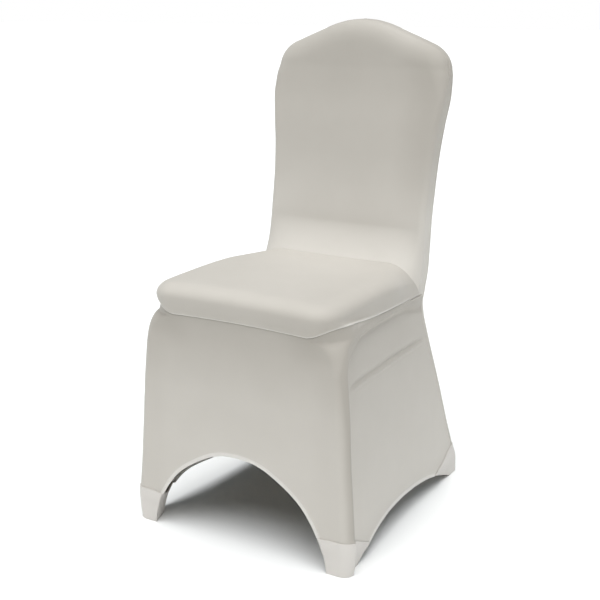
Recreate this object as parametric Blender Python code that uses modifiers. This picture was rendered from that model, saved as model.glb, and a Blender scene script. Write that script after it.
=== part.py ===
"""A stretch knit cover for a crown-back banquet chair, as it hangs on the chair.

The front faces -Y, +X is the sitter's left, and the four feet stand on z = 0.
Each cut piece of cloth is one thin shell. Neighbours meet edge to edge at their seams.
"""

import math

import bmesh
import bpy

# Cloth and seams, in metres
CLOTH = 0.002
GAP = 0.0003
HALF_GAP = GAP / 2
BENT_SEAM_GAP = 0.0021
SIDE_SEAM_GAP = 0.0014
WELD = 0.00001

# Seat pad
SEAT_TOP = 0.499
SEAT_HALF_WIDTH = 0.1985
SEAT_FRONT = -0.2745
SEAT_CORNER = 0.050
SEAT_EDGE_INSET = 0.036
SEAT_EDGE_DEPTH = 0.024
SEAT_REAR = 0.088
SEAT_DOME = 0.005
SEAT_DOME_HALF_WIDTH = 0.20
SEAT_DOME_HALF_DEPTH = 0.18
SEAT_MIDDLE = -0.09
SIDE_RINGS = (0.0, 0.42, 1.0)
TUCK_POWER = 3.0
NECK_PART = 0.38

# Height of the seam under the pad at the middle of its front
FRONT_SEAM = 0.4375

# Front legs and the rails that they bend into
LEG_RADIUS = 0.021
RECESS = 0.010
GROOVE = 0.008
BEND = 0.040
BEND_RISE = 0.050
RIDGE_LENGTH = 0.110
RIDGE_RISE = 0.065
RAIL_HEIGHT = 0.4275
RAIL_DROP = 0.020
RAIL_DROP_RANGE = (0.0, 0.14)
SEAM_BEHIND_LEG = 0.020
SIDE_SAG = 0.004

# Brace between the legs, which shows through the side panel
BRACE_HEIGHT = 0.338
BRACE_RIDGE = 0.004
BRACE_SOFTNESS = 0.008
BRACE_FADE_IN = (0.02, 0.15)
BRACE_FADE_OUT = (0.85, 1.0)

# Backrest
BACK_DEPTH = 0.045
REAR_RADIUS = 0.008
SEAM_FROM_REAR = 0.012
BACK_BULGE = 0.005
SIDE_ROUND = 0.012
CROWN_INSET = 0.045
CROWN_DEPTH = 0.027
SHOULDER = 0.872
BACK_BOTTOM = 0.432
SWEEP_START = 0.560
SWEEP_END = 0.496
SWEEP = 0.030
SWEEP_POWER = 1.6
CORNER_POWER = 6
CROWN_ROUND = (0.80, 0.90)
SEAT_LINE_FLAT = 0.65

# Foot pockets
POCKET_ROUND = 0.003
POCKET_DRAW_IN = 0.03
POCKET_RINGS = 3
RIM_GAP = 0.0006
RIM_END_GAP = 0.0018

# The front of the arch on the sitter's right is pulled up more than on the left
PULL = 0.015
PULL_PLACE = -0.145
PULL_SPREAD = 0.070
PULL_SIDE = (0.10, 0.18)
PULL_FOOT = 0.020
PULL_HEIGHTS = (0.050, 0.350)

CLOTH_COLOURS = {
    "panel": (0.62, 0.61, 0.58, 1.0),
    "skirt": (0.56, 0.54, 0.51, 1.0),
    "pocket": (0.70, 0.68, 0.65, 1.0),
}
CLOTH_ROUGHNESS = 0.7


class Table:
    """Rows of sizes under named columns. The first column is where each row stands."""

    def __init__(self, columns, *rows):
        self.columns = dict(zip(columns.split(), zip(*rows)))
        self.places = [row[0] for row in rows]

    def at(self, place, column):
        """The column's value at a place, on a smooth curve that never overshoots its rows."""
        places = self.places
        values = self.columns[column]
        place = min(max(place, places[0]), places[-1])
        i = max(j for j in range(len(places) - 1) if places[j] <= place)
        step = places[i + 1] - places[i]
        t = (place - places[i]) / step
        start = self.slope(values, i) * step
        end = self.slope(values, i + 1) * step
        rise = values[i + 1] - values[i]
        return (
            values[i]
            + start * t
            + (3 * rise - 2 * start - end) * t**2
            + (start + end - 2 * rise) * t**3
        )

    def slope(self, values, i):
        places = self.places
        last = len(places) - 1
        before = max(i, 1)
        after = min(i + 1, last)
        left = (values[before] - values[before - 1]) / (places[before] - places[before - 1])
        right = (values[after] - values[after - 1]) / (places[after] - places[after - 1])
        if left * right <= 0:
            return 0.0
        return 2 * left * right / (left + right)


LEG = Table(
    "height half_width front",
    (0.000, 0.2400, -0.2715),
    (0.030, 0.2440, -0.2715),
    (0.100, 0.2398, -0.2695),
    (0.200, 0.2322, -0.2670),
    (0.300, 0.2262, -0.2640),
    (0.360, 0.2210, -0.2625),
    (0.400, 0.2152, -0.2615),
    (0.420, 0.2112, -0.2615),
    (0.440, 0.2057, -0.2620),
)

BACK = Table(
    "height half_width rear",
    (0.000, 0.2055, 0.2745),
    (0.030, 0.2055, 0.2740),
    (0.060, 0.2020, 0.2635),
    (0.120, 0.1990, 0.2385),
    (0.200, 0.1952, 0.2075),
    (0.280, 0.1920, 0.1735),
    (0.360, 0.1893, 0.1385),
    (0.390, 0.1880, 0.1275),
    (0.413, 0.1862, 0.1250),
    (0.436, 0.1848, 0.1350),
    (0.480, 0.1830, 0.1530),
    (0.520, 0.1810, 0.1620),
    (0.580, 0.1800, 0.1700),
    (0.640, 0.1807, 0.1800),
    (0.700, 0.1837, 0.1880),
    (0.760, 0.1897, 0.1960),
    (0.820, 0.1962, 0.2065),
    (0.850, 0.1965, 0.2105),
    (0.872, 0.1935, 0.2130),
    (0.960, 0.1935, 0.2150),
)

CROWN = Table(
    "across height",
    (0.0000, 0.9600),
    (0.0250, 0.9580),
    (0.0530, 0.9520),
    (0.0980, 0.9355),
    (0.1420, 0.9185),
    (0.1630, 0.9095),
    (0.1778, 0.8985),
    (0.1880, 0.8855),
    (0.1935, 0.8720),
)

FRONT_ARCH = Table(
    "across height",
    (0.0000, 0.1780),
    (0.0300, 0.1760),
    (0.0600, 0.1680),
    (0.0900, 0.1535),
    (0.1200, 0.1345),
    (0.1400, 0.1175),
    (0.1550, 0.0990),
    (0.1665, 0.0810),
    (0.1760, 0.0620),
)

SIDE_ARCH = Table(
    "along height",
    (-0.170, 0.0235),
    (-0.146, 0.0335),
    (-0.112, 0.0425),
    (-0.065, 0.0490),
    (-0.016, 0.0505),
    (0.042, 0.0480),
    (0.110, 0.0390),
    (0.150, 0.0295),
)

# The seam under the pad round its front corner, by the degrees turned, and along its side
CORNER_SEAM = Table(
    "turned height",
    (0, 0.4340),
    (15, 0.4375),
    (30, 0.4435),
    (45, 0.4495),
    (60, 0.4525),
    (75, 0.4530),
    (90, 0.4520),
)

SIDE_SEAM = Table(
    "along height",
    (-0.196, 0.4520),
    (-0.160, 0.4475),
    (-0.120, 0.4440),
    (-0.060, 0.4412),
    (-0.020, 0.4404),
    (0.020, 0.4385),
    (0.060, 0.4350),
    (0.095, 0.4320),
)

# Top edge of a foot pocket. Run is the distance from the middle of the corner's round,
# minus towards the front or back arch and plus along the side.
FRONT_POCKET = Table(
    "run height",
    (-0.0555, 0.0620),
    (-0.0300, 0.0640),
    (0.0000, 0.0635),
    (0.0200, 0.0600),
    (0.0400, 0.0520),
    (0.0700, 0.0370),
    (0.0980, 0.0235),
)

REAR_POCKET = Table(
    "run height",
    (-0.0500, 0.0620),
    (-0.0300, 0.0640),
    (0.0000, 0.0650),
    (0.0200, 0.0610),
    (0.0600, 0.0470),
    (0.1190, 0.0295),
)


def mix(start, end, part):
    return start + (end - start) * part


def ease(start, end, value):
    """0 before start, 1 after end, and a soft step between."""
    part = min(max((value - start) / (end - start), 0.0), 1.0)
    return part * part * (3 - 2 * part)


def rounding(distance, inset, depth):
    """How far a rounded edge has dropped at a distance in from it: a quarter of an ellipse."""
    part = min(max((inset - distance) / inset, 0.0), 1.0)
    return depth * (1 - math.sqrt(1 - part * part))


def spaced(start, end, count):
    return [mix(start, end, i / count) for i in range(count + 1)]


# The skirt's surface, for the half at +X


def bend_setback(height):
    """How far the front leg has bent back at a height, on its way into the side rail."""
    part = min(max((height - RAIL_HEIGHT) / BEND_RISE + 1, 0.0), 1.0)
    return BEND * (1 - math.sqrt(1 - part**2))


def leg_corner(height):
    """Radius of the skirt's front corner."""
    return LEG_RADIUS + bend_setback(height)


def behind_leg(y, height):
    """Distance behind the front leg and below its rail, seen from the side. Minus is on them."""
    back = y - (LEG.at(height, "front") + LEG_RADIUS)
    below = RAIL_HEIGHT - RAIL_DROP * ease(*RAIL_DROP_RANGE, y) - height
    along, down = RIDGE_LENGTH - back, RIDGE_RISE - below
    if along <= 0 or down <= 0:
        return min(back, below)
    reach = math.hypot(along, down)
    return reach / math.hypot(along / RIDGE_LENGTH, down / RIDGE_RISE) - reach


def side_x(y, height):
    """Half width of the cover's side at a place along it."""
    start = LEG.at(height, "front") + leg_corner(height)
    end = BACK.at(height, "rear") - SEAM_FROM_REAR
    part = min(max((y - start) / (end - start), 0.0), 1.0)
    flat = mix(LEG.at(height, "half_width") - RECESS, BACK.at(height, "half_width"), part)
    sag = SIDE_SAG * math.sin(math.pi * part)
    past_leg = max(behind_leg(y, height), 0.0) / GROOVE
    leg = RECESS * (1 - part**CORNER_POWER) * math.exp(-(past_leg**2))
    rise = (BRACE_HEIGHT - height) / BRACE_SOFTNESS
    brace = BRACE_RIDGE * rise * math.exp((1 - rise * rise) / 2)
    brace *= ease(*BRACE_FADE_IN, part) * (1 - ease(*BRACE_FADE_OUT, part))
    return flat - sag + leg + brace


def corner_start(height):
    """Where the skirt's front ends and its rounded corner starts."""
    radius = leg_corner(height)
    return side_x(LEG.at(height, "front") + radius, height) - radius


def front_point(part, height):
    return part * corner_start(height), LEG.at(height, "front"), height


def corner_point(angle, height):
    """A point of the front corner, by the angle turned from the front to the side."""
    radius = leg_corner(height)
    x = corner_start(height) + radius * math.sin(angle)
    y = LEG.at(height, "front") + radius * (1 - math.cos(angle))
    return x, y, height


def side_point(y, height):
    return side_x(y, height), y, height


def side_start(height):
    """Where the rounded corner ends and the side starts."""
    return LEG.at(height, "front") + leg_corner(height)


def side_seam(height):
    """Where the front skirt is sewn to the side skirt."""
    return side_start(height) + SEAM_BEHIND_LEG


def rear_seam(height):
    """Where the outside back is sewn on."""
    return BACK.at(height, "rear") - SEAM_FROM_REAR


def front_seam_height(part):
    return mix(FRONT_SEAM, corner_seam_height(0), part**2)


def corner_seam_height(angle):
    return CORNER_SEAM.at(math.degrees(angle), "height")


def side_seam_height(y):
    return SIDE_SEAM.at(y, "height")


# Hems, for the half at +X

ARCH_END = FRONT_ARCH.places[-1]
SIDE_ARCH_START = SIDE_ARCH.places[0]
SIDE_ARCH_END = SIDE_ARCH.places[-1]
HEM_LEVEL = 0.060
HALF_ARC = math.pi / 4


def front_hem(x):
    if x <= ARCH_END:
        return FRONT_ARCH.at(x, "height")
    run = x - corner_start(HEM_LEVEL) - LEG_RADIUS * HALF_ARC
    return FRONT_POCKET.at(run, "height")


def corner_hem(angle):
    return FRONT_POCKET.at(LEG_RADIUS * (angle - HALF_ARC), "height")


def side_hem(y):
    if y < SIDE_ARCH_START:
        run = y - side_start(HEM_LEVEL) + LEG_RADIUS * HALF_ARC
        return FRONT_POCKET.at(run, "height")
    if y > SIDE_ARCH_END:
        run = BACK.at(HEM_LEVEL, "rear") - REAR_RADIUS - y + REAR_RADIUS * HALF_ARC
        return REAR_POCKET.at(run, "height")
    return SIDE_ARCH.at(y, "height")


def rear_arch_end():
    """Half width of the back arch where it meets the foot pocket."""
    run = -REAR_POCKET.places[0] - REAR_RADIUS * HALF_ARC
    return BACK.at(HEM_LEVEL, "half_width") - REAR_RADIUS - run


def rear_hem(x):
    end = rear_arch_end()
    if x <= end:
        return FRONT_ARCH.at(x * ARCH_END / end, "height")
    run = x - (BACK.at(HEM_LEVEL, "half_width") - REAR_RADIUS) - REAR_RADIUS * HALF_ARC
    return REAR_POCKET.at(run, "height")


# Making the sheets


def pulled_up(x, y, z):
    """The place of a point once the arch on the sitter's right has been pulled up."""
    beside = ease(*PULL_SIDE, -x)
    above_floor = ease(0.0, PULL_FOOT, z) * (1 - ease(*PULL_HEIGHTS, z))
    near = math.exp(-(((y - PULL_PLACE) / PULL_SPREAD) ** 2))
    return x, y, z + PULL * beside * above_floor * near


def cloth_material(name, colour):
    material = bpy.data.materials.new(name)
    material.use_nodes = True
    shader = material.node_tree.nodes["Principled BSDF"]
    shader.inputs["Base Color"].default_value = CLOTH_COLOURS[colour]
    shader.inputs["Roughness"].default_value = CLOTH_ROUGHNESS
    shader.inputs["Metallic"].default_value = 0.0
    return material


def ringed(places, rings_before, rings_after):
    """Grid lines of a tray: its floor's places, with the rings of its walls before and after."""
    before = [(places[0], ring) for ring in range(rings_before, 0, -1)]
    after = [(places[-1], ring) for ring in range(1, rings_after + 1)]
    return before + [(place, 0) for place in places] + after


def sheet(name, columns, rows, place, colour, flip=False, even=True):
    """One piece of cloth from a grid whose points place(u, v, ring) puts in space.

    Columns and rows are pairs of a place and a ring. Ring 0 is the floor of the grid.
    Where two walls would cross, the grid's corner is taken out and their edges are welded.
    """
    mesh = bmesh.new()
    across = len(columns) - 1
    along = len(rows) - 1
    bmesh.ops.create_grid(mesh, x_segments=across, y_segments=along, size=0.5)
    corners = []
    for face in mesh.faces:
        centre = face.calc_center_median()
        column = math.floor((centre.x + 0.5) * across)
        row = math.floor((centre.y + 0.5) * along)
        in_side_wall = columns[column][1] + columns[column + 1][1] > 0
        in_end_wall = rows[row][1] + rows[row + 1][1] > 0
        if in_side_wall and in_end_wall:
            corners.append(face)
    bmesh.ops.delete(mesh, geom=corners, context="FACES")
    for vertex in mesh.verts:
        u, side_ring = columns[round((vertex.co.x + 0.5) * across)]
        v, end_ring = rows[round((vertex.co.y + 0.5) * along)]
        vertex.co = pulled_up(*place(u, v, max(side_ring, end_ring)))
    bmesh.ops.remove_doubles(mesh, verts=mesh.verts, dist=WELD)
    if flip:
        bmesh.ops.reverse_faces(mesh, faces=mesh.faces)
    data = bpy.data.meshes.new(name)
    mesh.to_mesh(data)
    mesh.free()
    data.shade_smooth()
    piece = bpy.data.objects.new(name, data)
    cover.objects.link(piece)
    data.materials.append(cloth_material(name + "_cloth", colour))
    wall = piece.modifiers.new("cloth thickness", "SOLIDIFY")
    wall.thickness = CLOTH
    wall.offset = -1.0
    wall.use_even_offset = even
    return piece


def mirrored(place):
    """The same points on the other side of the chair."""

    def other_side(u, v, ring):
        x, y, z = place(u, v, ring)
        return -x, y, z

    return other_side


# Front skirt: q runs 0 to 1 over the flat front, to 2 round the corner, to 3 to the side seam


def front_skirt_ends(q):
    """The hem's and the seat seam's heights at q."""
    if q <= 1:
        return front_hem(q * corner_start(HEM_LEVEL)), front_seam_height(q)
    if q <= 2:
        angle = (q - 1) * math.pi / 2
        return corner_hem(angle), corner_seam_height(angle)
    y_hem = mix(side_start(HEM_LEVEL), side_seam(HEM_LEVEL), q - 2)
    y_top = mix(side_start(BACK_BOTTOM), side_seam(BACK_BOTTOM), q - 2)
    return side_hem(y_hem), side_seam_height(y_top)


def front_skirt_point(q, v, _ring):
    side = math.copysign(1, q)
    q = abs(q)
    bottom, top = front_skirt_ends(q)
    height = mix(bottom + HALF_GAP, top - HALF_GAP, v)
    if q <= 1:
        x, y, z = front_point(q, height)
    elif q <= 2:
        x, y, z = corner_point((q - 1) * math.pi / 2, height)
    else:
        y = mix(side_start(height), side_seam(height) - BENT_SEAM_GAP / 2, q - 2)
        x, y, z = side_point(y, height)
    return side * x, y, z


SKIRT_ROWS = [0.0, 0.13, 0.26, 0.39, 0.51, 0.61, 0.68, 0.715, 0.745, 0.78]
SKIRT_ROWS += [0.83, 0.88, 0.925, 0.965, 1.0]
MID_CORNER = 1.5
ARCH_COLUMN = ARCH_END / corner_start(HEM_LEVEL)
FRONT_COLUMNS = [0.14, 0.28, 0.42, 0.54, 0.65, 0.74, ARCH_COLUMN, 0.91, 1.0]
FRONT_COLUMNS += [1.25, MID_CORNER, 1.75, 2.0, 2.33, 2.67, 3.0]


def make_front_skirt():
    columns = [-q for q in reversed(FRONT_COLUMNS)] + [0.0] + FRONT_COLUMNS
    sheet(
        "skirt_front",
        ringed(columns, 0, 0),
        ringed(SKIRT_ROWS, 0, 0),
        front_skirt_point,
        "skirt",
    )


# Side skirts


def side_skirt_point(u, v, _ring):
    y_hem = mix(side_seam(HEM_LEVEL), rear_seam(HEM_LEVEL), u)
    y_top = mix(side_seam(BACK_BOTTOM), rear_seam(BACK_BOTTOM), u)
    height = mix(side_hem(y_hem) + HALF_GAP, side_seam_height(y_top) - HALF_GAP, v)
    y = mix(side_seam(height) + BENT_SEAM_GAP / 2, rear_seam(height) - HALF_GAP, u)
    return side_point(y, height)


SIDE_ARCH_COLUMNS = [
    (y - side_seam(HEM_LEVEL)) / (rear_seam(HEM_LEVEL) - side_seam(HEM_LEVEL))
    for y in (SIDE_ARCH_START, SIDE_ARCH_END)
]
SIDE_COLUMNS = [0.0, 0.04, 0.08, SIDE_ARCH_COLUMNS[0], 0.19, 0.27, 0.36, 0.45, 0.54, 0.63]
SIDE_COLUMNS += [0.71, SIDE_ARCH_COLUMNS[1], 0.85, 0.91, 0.96, 1.0]


def make_side_skirts():
    for side, place, flip in (
        ("right", side_skirt_point, False),
        ("left", mirrored(side_skirt_point), True),
    ):
        name = "skirt_side_" + side
        sheet(name, ringed(SIDE_COLUMNS, 0, 0), ringed(SKIRT_ROWS, 0, 0), place, "skirt", flip)


# Backrest


SLOPE_STEP = 0.001


def crown_height(x):
    return CROWN.at(abs(x), "height")


def edge_distance(x, z):
    """Distance in from the backrest's outline."""
    x = abs(x)
    ahead = min(x + SLOPE_STEP, CROWN.places[-1])
    behind = ahead - 2 * SLOPE_STEP
    slope = (crown_height(ahead) - crown_height(behind)) / (2 * SLOPE_STEP)
    from_crown = (crown_height(x) - z) / math.hypot(1, slope)
    if z > SHOULDER:
        return max(from_crown, 0.0)
    return max(min(from_crown, BACK.at(z, "half_width") - x), 0.0)


def inside_face(x, z):
    """Front of the backrest, without its rounded edge."""
    part = min(abs(x) / BACK.at(z, "half_width"), 1.0)
    drop = max(SWEEP_START - z, 0.0) / (SWEEP_START - SWEEP_END)
    sweep = SWEEP * drop**SWEEP_POWER * (1 - part**CORNER_POWER)
    bulge = BACK_BULGE * (1 - part**2)
    return BACK.at(z, "rear") - BACK_DEPTH - sweep - bulge


def inside_back_point(u, v, ring):
    bottom = seat_line_height(u) + GAP
    side_height = mix(BACK_BOTTOM + GAP, SHOULDER, v)
    x = u * BACK.at(side_height, "half_width")
    z = mix(bottom, crown_height(u * CROWN.places[-1]), v)
    crowned = ease(*CROWN_ROUND, z)
    inset = mix(SIDE_ROUND, CROWN_INSET, crowned)
    depth = mix(SIDE_ROUND, CROWN_DEPTH, crowned)
    face = inside_face(x, z)
    if ring == 0 and abs(u) < 1 and v < 1:
        return x, face + rounding(edge_distance(x, z), inset, depth) + HALF_GAP, z
    seam = BACK.at(z, "rear") - SEAM_FROM_REAR - HALF_GAP
    start = face + depth
    return x, mix(start, seam, ring / 2), z


def seat_line_height(u):
    """Height of the seam between the backrest and the seat pad, across the chair."""
    fall = min(max((abs(u) - SEAT_LINE_FLAT) / (1 - SEAT_LINE_FLAT), 0.0), 1.0)
    return mix(BACK_BOTTOM, SWEEP_END, math.sqrt(1 - fall**2))


MID_REAR = 0.99
BACK_ARCH_COLUMN = rear_arch_end() / BACK.at(HEM_LEVEL, "half_width")
BACK_COLUMNS = [0.2, 0.4, 0.58, BACK_ARCH_COLUMN, 0.86, 0.93, 0.965, MID_REAR, 1.0]
BACK_ROWS = [0.0, 0.035, 0.075, 0.12, 0.18, 0.26, 0.35, 0.45, 0.55, 0.65, 0.74]
BACK_ROWS += [0.82, 0.87, 0.91, 0.945, 0.975, 0.992, 1.0]


def make_inside_back():
    columns = [-u for u in reversed(BACK_COLUMNS)] + [0.0] + BACK_COLUMNS
    sheet(
        "inside_back",
        ringed(columns, 2, 2),
        ringed(BACK_ROWS, 0, 2),
        inside_back_point,
        "panel",
    )


def outside_back_point(u, v, ring):
    if ring and v <= 0:
        hem = side_hem(rear_seam(HEM_LEVEL)) + HALF_GAP
    else:
        hem = rear_hem(abs(u) * BACK.at(HEM_LEVEL, "half_width")) + HALF_GAP
    if v < 0:
        z = mix(BACK_BOTTOM, hem, -v)
        side_hem_height = rear_hem(BACK.at(HEM_LEVEL, "half_width")) + HALF_GAP
        side_height = mix(BACK_BOTTOM, side_hem_height, -v)
    else:
        z = mix(BACK_BOTTOM, crown_height(u * CROWN.places[-1]), v)
        side_height = mix(BACK_BOTTOM, SHOULDER, v)
    x = u * BACK.at(side_height, "half_width")
    rear = BACK.at(z, "rear")
    if ring:
        return x, rear - SEAM_FROM_REAR + HALF_GAP, z
    if abs(u) == 1 or v == 1:
        return x, rear - REAR_RADIUS, z
    return x, rear - rounding(edge_distance(x, z), REAR_RADIUS, REAR_RADIUS), z


def make_outside_back():
    columns = [-u for u in reversed(BACK_COLUMNS)] + [0.0] + BACK_COLUMNS
    rows = [row - 1 for row in SKIRT_ROWS] + BACK_ROWS[1:]
    sheet(
        "outside_back",
        ringed(columns, 1, 1),
        ringed(rows, 0, 1),
        outside_back_point,
        "panel",
        flip=True,
    )


# Seat


def seat_front(x):
    """Front outline of the pad, with its rounded corners."""
    over = abs(x) - (SEAT_HALF_WIDTH - SEAT_CORNER)
    if over <= 0:
        return SEAT_FRONT
    return SEAT_FRONT + SEAT_CORNER - math.sqrt(max(SEAT_CORNER**2 - over**2, 0.0))


def seat_half_width(y):
    over = SEAT_FRONT + SEAT_CORNER - y
    if over <= 0:
        return SEAT_HALF_WIDTH
    return SEAT_HALF_WIDTH - SEAT_CORNER + math.sqrt(max(SEAT_CORNER**2 - over**2, 0.0))


def seat_edge_distance(x, y):
    beside = abs(x) - (SEAT_HALF_WIDTH - SEAT_CORNER)
    ahead = SEAT_FRONT + SEAT_CORNER - y
    if beside > 0 and ahead > 0:
        return max(SEAT_CORNER - math.hypot(beside, ahead), 0.0)
    return max(SEAT_CORNER - max(beside, ahead), 0.0)


def pad_point(u, v, ring):
    """A point of the pad before it narrows to the backrest."""
    corner = SEAT_CORNER * math.sin(math.pi / 4)
    corner_x = SEAT_HALF_WIDTH - SEAT_CORNER + corner
    corner_y = SEAT_FRONT + SEAT_CORNER - corner
    side_y = mix(SEAT_REAR, corner_y, v)
    x = u * seat_half_width(side_y)
    y = mix(SEAT_REAR, seat_front(u * corner_x), v)
    if ring == 0:
        across = x / SEAT_DOME_HALF_WIDTH
        along = (y - SEAT_MIDDLE) / SEAT_DOME_HALF_DEPTH
        dome = SEAT_DOME * (across**2 + along**2)
        on_edge = abs(u) == 1 or v == 1
        distance = 0.0 if on_edge else seat_edge_distance(x, y)
        z = SEAT_TOP - dome - rounding(distance, SEAT_EDGE_INSET, SEAT_EDGE_DEPTH)
        return x, y, z
    seam = seat_seam_point(x, y)
    part = SIDE_RINGS[ring]
    edge = SEAT_TOP - SEAT_DOME - SEAT_EDGE_DEPTH
    tuck = part**TUCK_POWER
    return mix(x, seam[0], tuck), mix(y, seam[1], tuck), mix(edge, seam[2], part)


def seat_seam_point(x, y):
    """The place on the seat's lower seam below a place on the pad's widest line."""
    side = math.copysign(1, x)
    beside = abs(x) - (SEAT_HALF_WIDTH - SEAT_CORNER)
    ahead = SEAT_FRONT + SEAT_CORNER - y
    if beside <= 0:
        part = abs(x) / (SEAT_HALF_WIDTH - SEAT_CORNER)
        seam = front_point(part, front_seam_height(part))
    elif ahead > 0:
        angle = math.atan2(beside, ahead)
        widened = SIDE_SEAM_GAP * math.sin(angle) ** 2
        seam = corner_point(angle, corner_seam_height(angle) + widened)
    else:
        part = (SEAT_REAR - y) / (SEAT_REAR - SEAT_FRONT - SEAT_CORNER)
        along = mix(seat_line_end(), side_start(BACK_BOTTOM), part)
        widened = SIDE_SEAM_GAP * ease(0.0, 0.5, part)
        seam = side_point(along, side_seam_height(along) + widened)
    return side * seam[0], seam[1], seam[2] + GAP


def seat_line_end():
    """Where the pad's side seam ends at the backrest."""
    return BACK.at(BACK_BOTTOM, "rear") - BACK_DEPTH + SIDE_ROUND


SEAT_COLUMNS = [0.0, 0.22, 0.43, 0.62, 0.78, 0.90, 0.97, 1.0]


def seat_panel_point(u, v, ring):
    x, y, z = pad_point(u, v, ring)
    fade = 1 - ease(0.0, NECK_PART, v)
    if fade == 0:
        return x, y, z
    column = SEAT_COLUMNS.index(abs(u)) + ring if u else 0
    line = inside_back_point(math.copysign([0.0, *BACK_COLUMNS][column], u), 0.0, 0)
    start = pad_point(u, 0.0, ring)
    return (
        x + fade * (line[0] - start[0]),
        y + fade * (line[1] - GAP - start[1]),
        z + fade * (line[2] - HALF_GAP - start[2]),
    )


def make_seat_panel():
    half = SEAT_COLUMNS[1:]
    columns = [-u for u in reversed(half)] + [0.0] + half
    rows = [0.0, 0.03, 0.07, 0.12, 0.19, 0.28, 0.38, 0.49, 0.60, 0.70, 0.79, 0.86]
    rows += [0.91, 0.945, 0.97, 0.99, 1.0]
    sheet(
        "seat_panel",
        ringed(columns, 2, 2),
        ringed(rows, 0, 2),
        seat_panel_point,
        "panel",
        flip=True,
    )


# Foot pockets


def foot_point(end, run, height):
    """A point of the cover's outer wall by a foot, by its run from the middle of the corner."""
    if end == "front":
        radius = LEG_RADIUS
        face = LEG.at(height, "front")
        towards = 1
        outer = corner_start(height) + radius
    else:
        radius = REAR_RADIUS
        face = BACK.at(height, "rear")
        towards = -1
        outer = BACK.at(height, "half_width")
    half_arc = radius * HALF_ARC
    if run < -half_arc:
        return outer - radius + run + half_arc, face, height
    if run <= half_arc:
        angle = HALF_ARC + run / radius
        x = outer - radius + radius * math.sin(angle)
        return x, face + towards * radius * (1 - math.cos(angle)), height
    y = face + towards * (radius + run - half_arc)
    return side_x(y, height), y, height


def front_foot_hem():
    """Hem points round a front foot: over the front to the corner, then along the side."""
    face = [front_skirt_point(q, 0, 0) for q in FRONT_COLUMNS if ARCH_COLUMN <= q <= MID_CORNER]
    side = [front_skirt_point(q, 0, 0) for q in FRONT_COLUMNS if q >= MID_CORNER]
    side += [side_skirt_point(u, 0, 0) for u in SIDE_COLUMNS if 0 < u <= SIDE_ARCH_COLUMNS[0]]
    return face, side


def back_foot_hem():
    """Hem points round a rear foot: over the back to the corner, then along the side."""
    face = [outside_back_point(u, -1, 0) for u in BACK_COLUMNS if BACK_ARCH_COLUMN <= u <= MID_REAR]
    side = [outside_back_point(u, -1, 0) for u in BACK_COLUMNS if u >= MID_REAR]
    side += [side_skirt_point(u, 0, 0) for u in SIDE_COLUMNS[::-1] if u >= SIDE_ARCH_COLUMNS[1]]
    return face, side


class Pocket:
    """A pocket that takes one foot: a flat base, two outer walls and two inner ones.

    On its grid the outer walls are at v = 0 and u = 1, and meet at the corner of the leg.
    """

    def __init__(self, end, hem, base_runs, inner_base, inner_rim):
        self.face, self.side = hem
        self.end = end
        self.base_runs = base_runs
        self.inner_base = inner_base
        self.inner_rim = inner_rim
        self.columns = spaced(0, 1, len(self.face) - 1)
        self.rows = spaced(0, 1, len(self.side) - 1)

    def outer_wall(self, u, v, part):
        first, last = self.base_runs
        if v == 0:
            rim = self.face[round(u * (len(self.face) - 1))]
            run = first * (1 - u)
        else:
            rim = self.side[round(v * (len(self.side) - 1))]
            run = last * v
        base = foot_point(self.end, run, POCKET_ROUND)
        x, y, z = (mix(a, b, part) for a, b in zip(base, rim))
        return x, y, z - mix(RIM_GAP, RIM_END_GAP, 1 - u + v) * part

    def wall(self, u, v, part):
        """A point of a wall, part of the way from the base to the rim."""
        if v == 0 or u == 1:
            return self.outer_wall(u, v, part)
        face_edge = self.outer_wall(0, 0, part)
        side_edge = self.outer_wall(1, 1, part)
        inner = [mix(a, b, part) for a, b in zip(self.inner_base, self.inner_rim)]
        if u == 0:
            return tuple(mix(a, b, v) for a, b in zip(face_edge, inner))
        return tuple(mix(a, b, u) for a, b in zip(inner, side_edge))

    def base(self, u, v):
        """A point of the flat base, worked out from its four edges and drawn in a little."""
        near, far = self.wall(u, 0, 0), self.wall(u, 1, 0)
        left, right = self.wall(0, v, 0), self.wall(1, v, 0)
        corners = [[self.wall(a, b, 0) for a in (0, 1)] for b in (0, 1)]
        point = []
        for i in range(2):
            ends = [mix(row[0][i], row[1][i], u) for row in corners]
            value = mix(near[i], far[i], v) + mix(left[i], right[i], u) - mix(*ends, v)
            centre = sum(corner[i] for row in corners for corner in row) / 4
            point.append(mix(value, centre, POCKET_DRAW_IN))
        return point[0], point[1], 0.0

    def place(self, u, v, ring):
        if ring == 0:
            return self.base(u, v)
        return self.wall(u, v, (ring - 1) / (POCKET_RINGS - 1))

    def make(self, side, flip):
        place = self.place if side == "right" else mirrored(self.place)
        columns = ringed(self.columns, POCKET_RINGS, POCKET_RINGS)
        rows = ringed(self.rows, POCKET_RINGS, POCKET_RINGS)
        sheet(f"foot_pocket_{self.end}_{side}", columns, rows, place, "pocket", flip, even=False)


def make_pockets():
    front = Pocket(
        "front",
        front_foot_hem(),
        base_runs=(-0.0415, 0.0560),
        inner_base=(0.2080, -0.2300, POCKET_ROUND),
        inner_rim=(0.2040, -0.2200, 0.0380),
    )
    back = Pocket(
        "back",
        back_foot_hem(),
        base_runs=(-0.0300, 0.0400),
        inner_base=(0.1760, 0.2400, POCKET_ROUND),
        inner_rim=(0.1780, 0.2140, 0.0410),
    )
    front.make("right", flip=True)
    front.make("left", flip=False)
    back.make("right", flip=False)
    back.make("left", flip=True)


for old in list(bpy.data.objects):
    bpy.data.objects.remove(old)
cover = bpy.data.collections.new("chair_cover")
bpy.context.scene.collection.children.link(cover)

make_seat_panel()
make_inside_back()
make_outside_back()
make_front_skirt()
make_side_skirts()
make_pockets()
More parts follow.
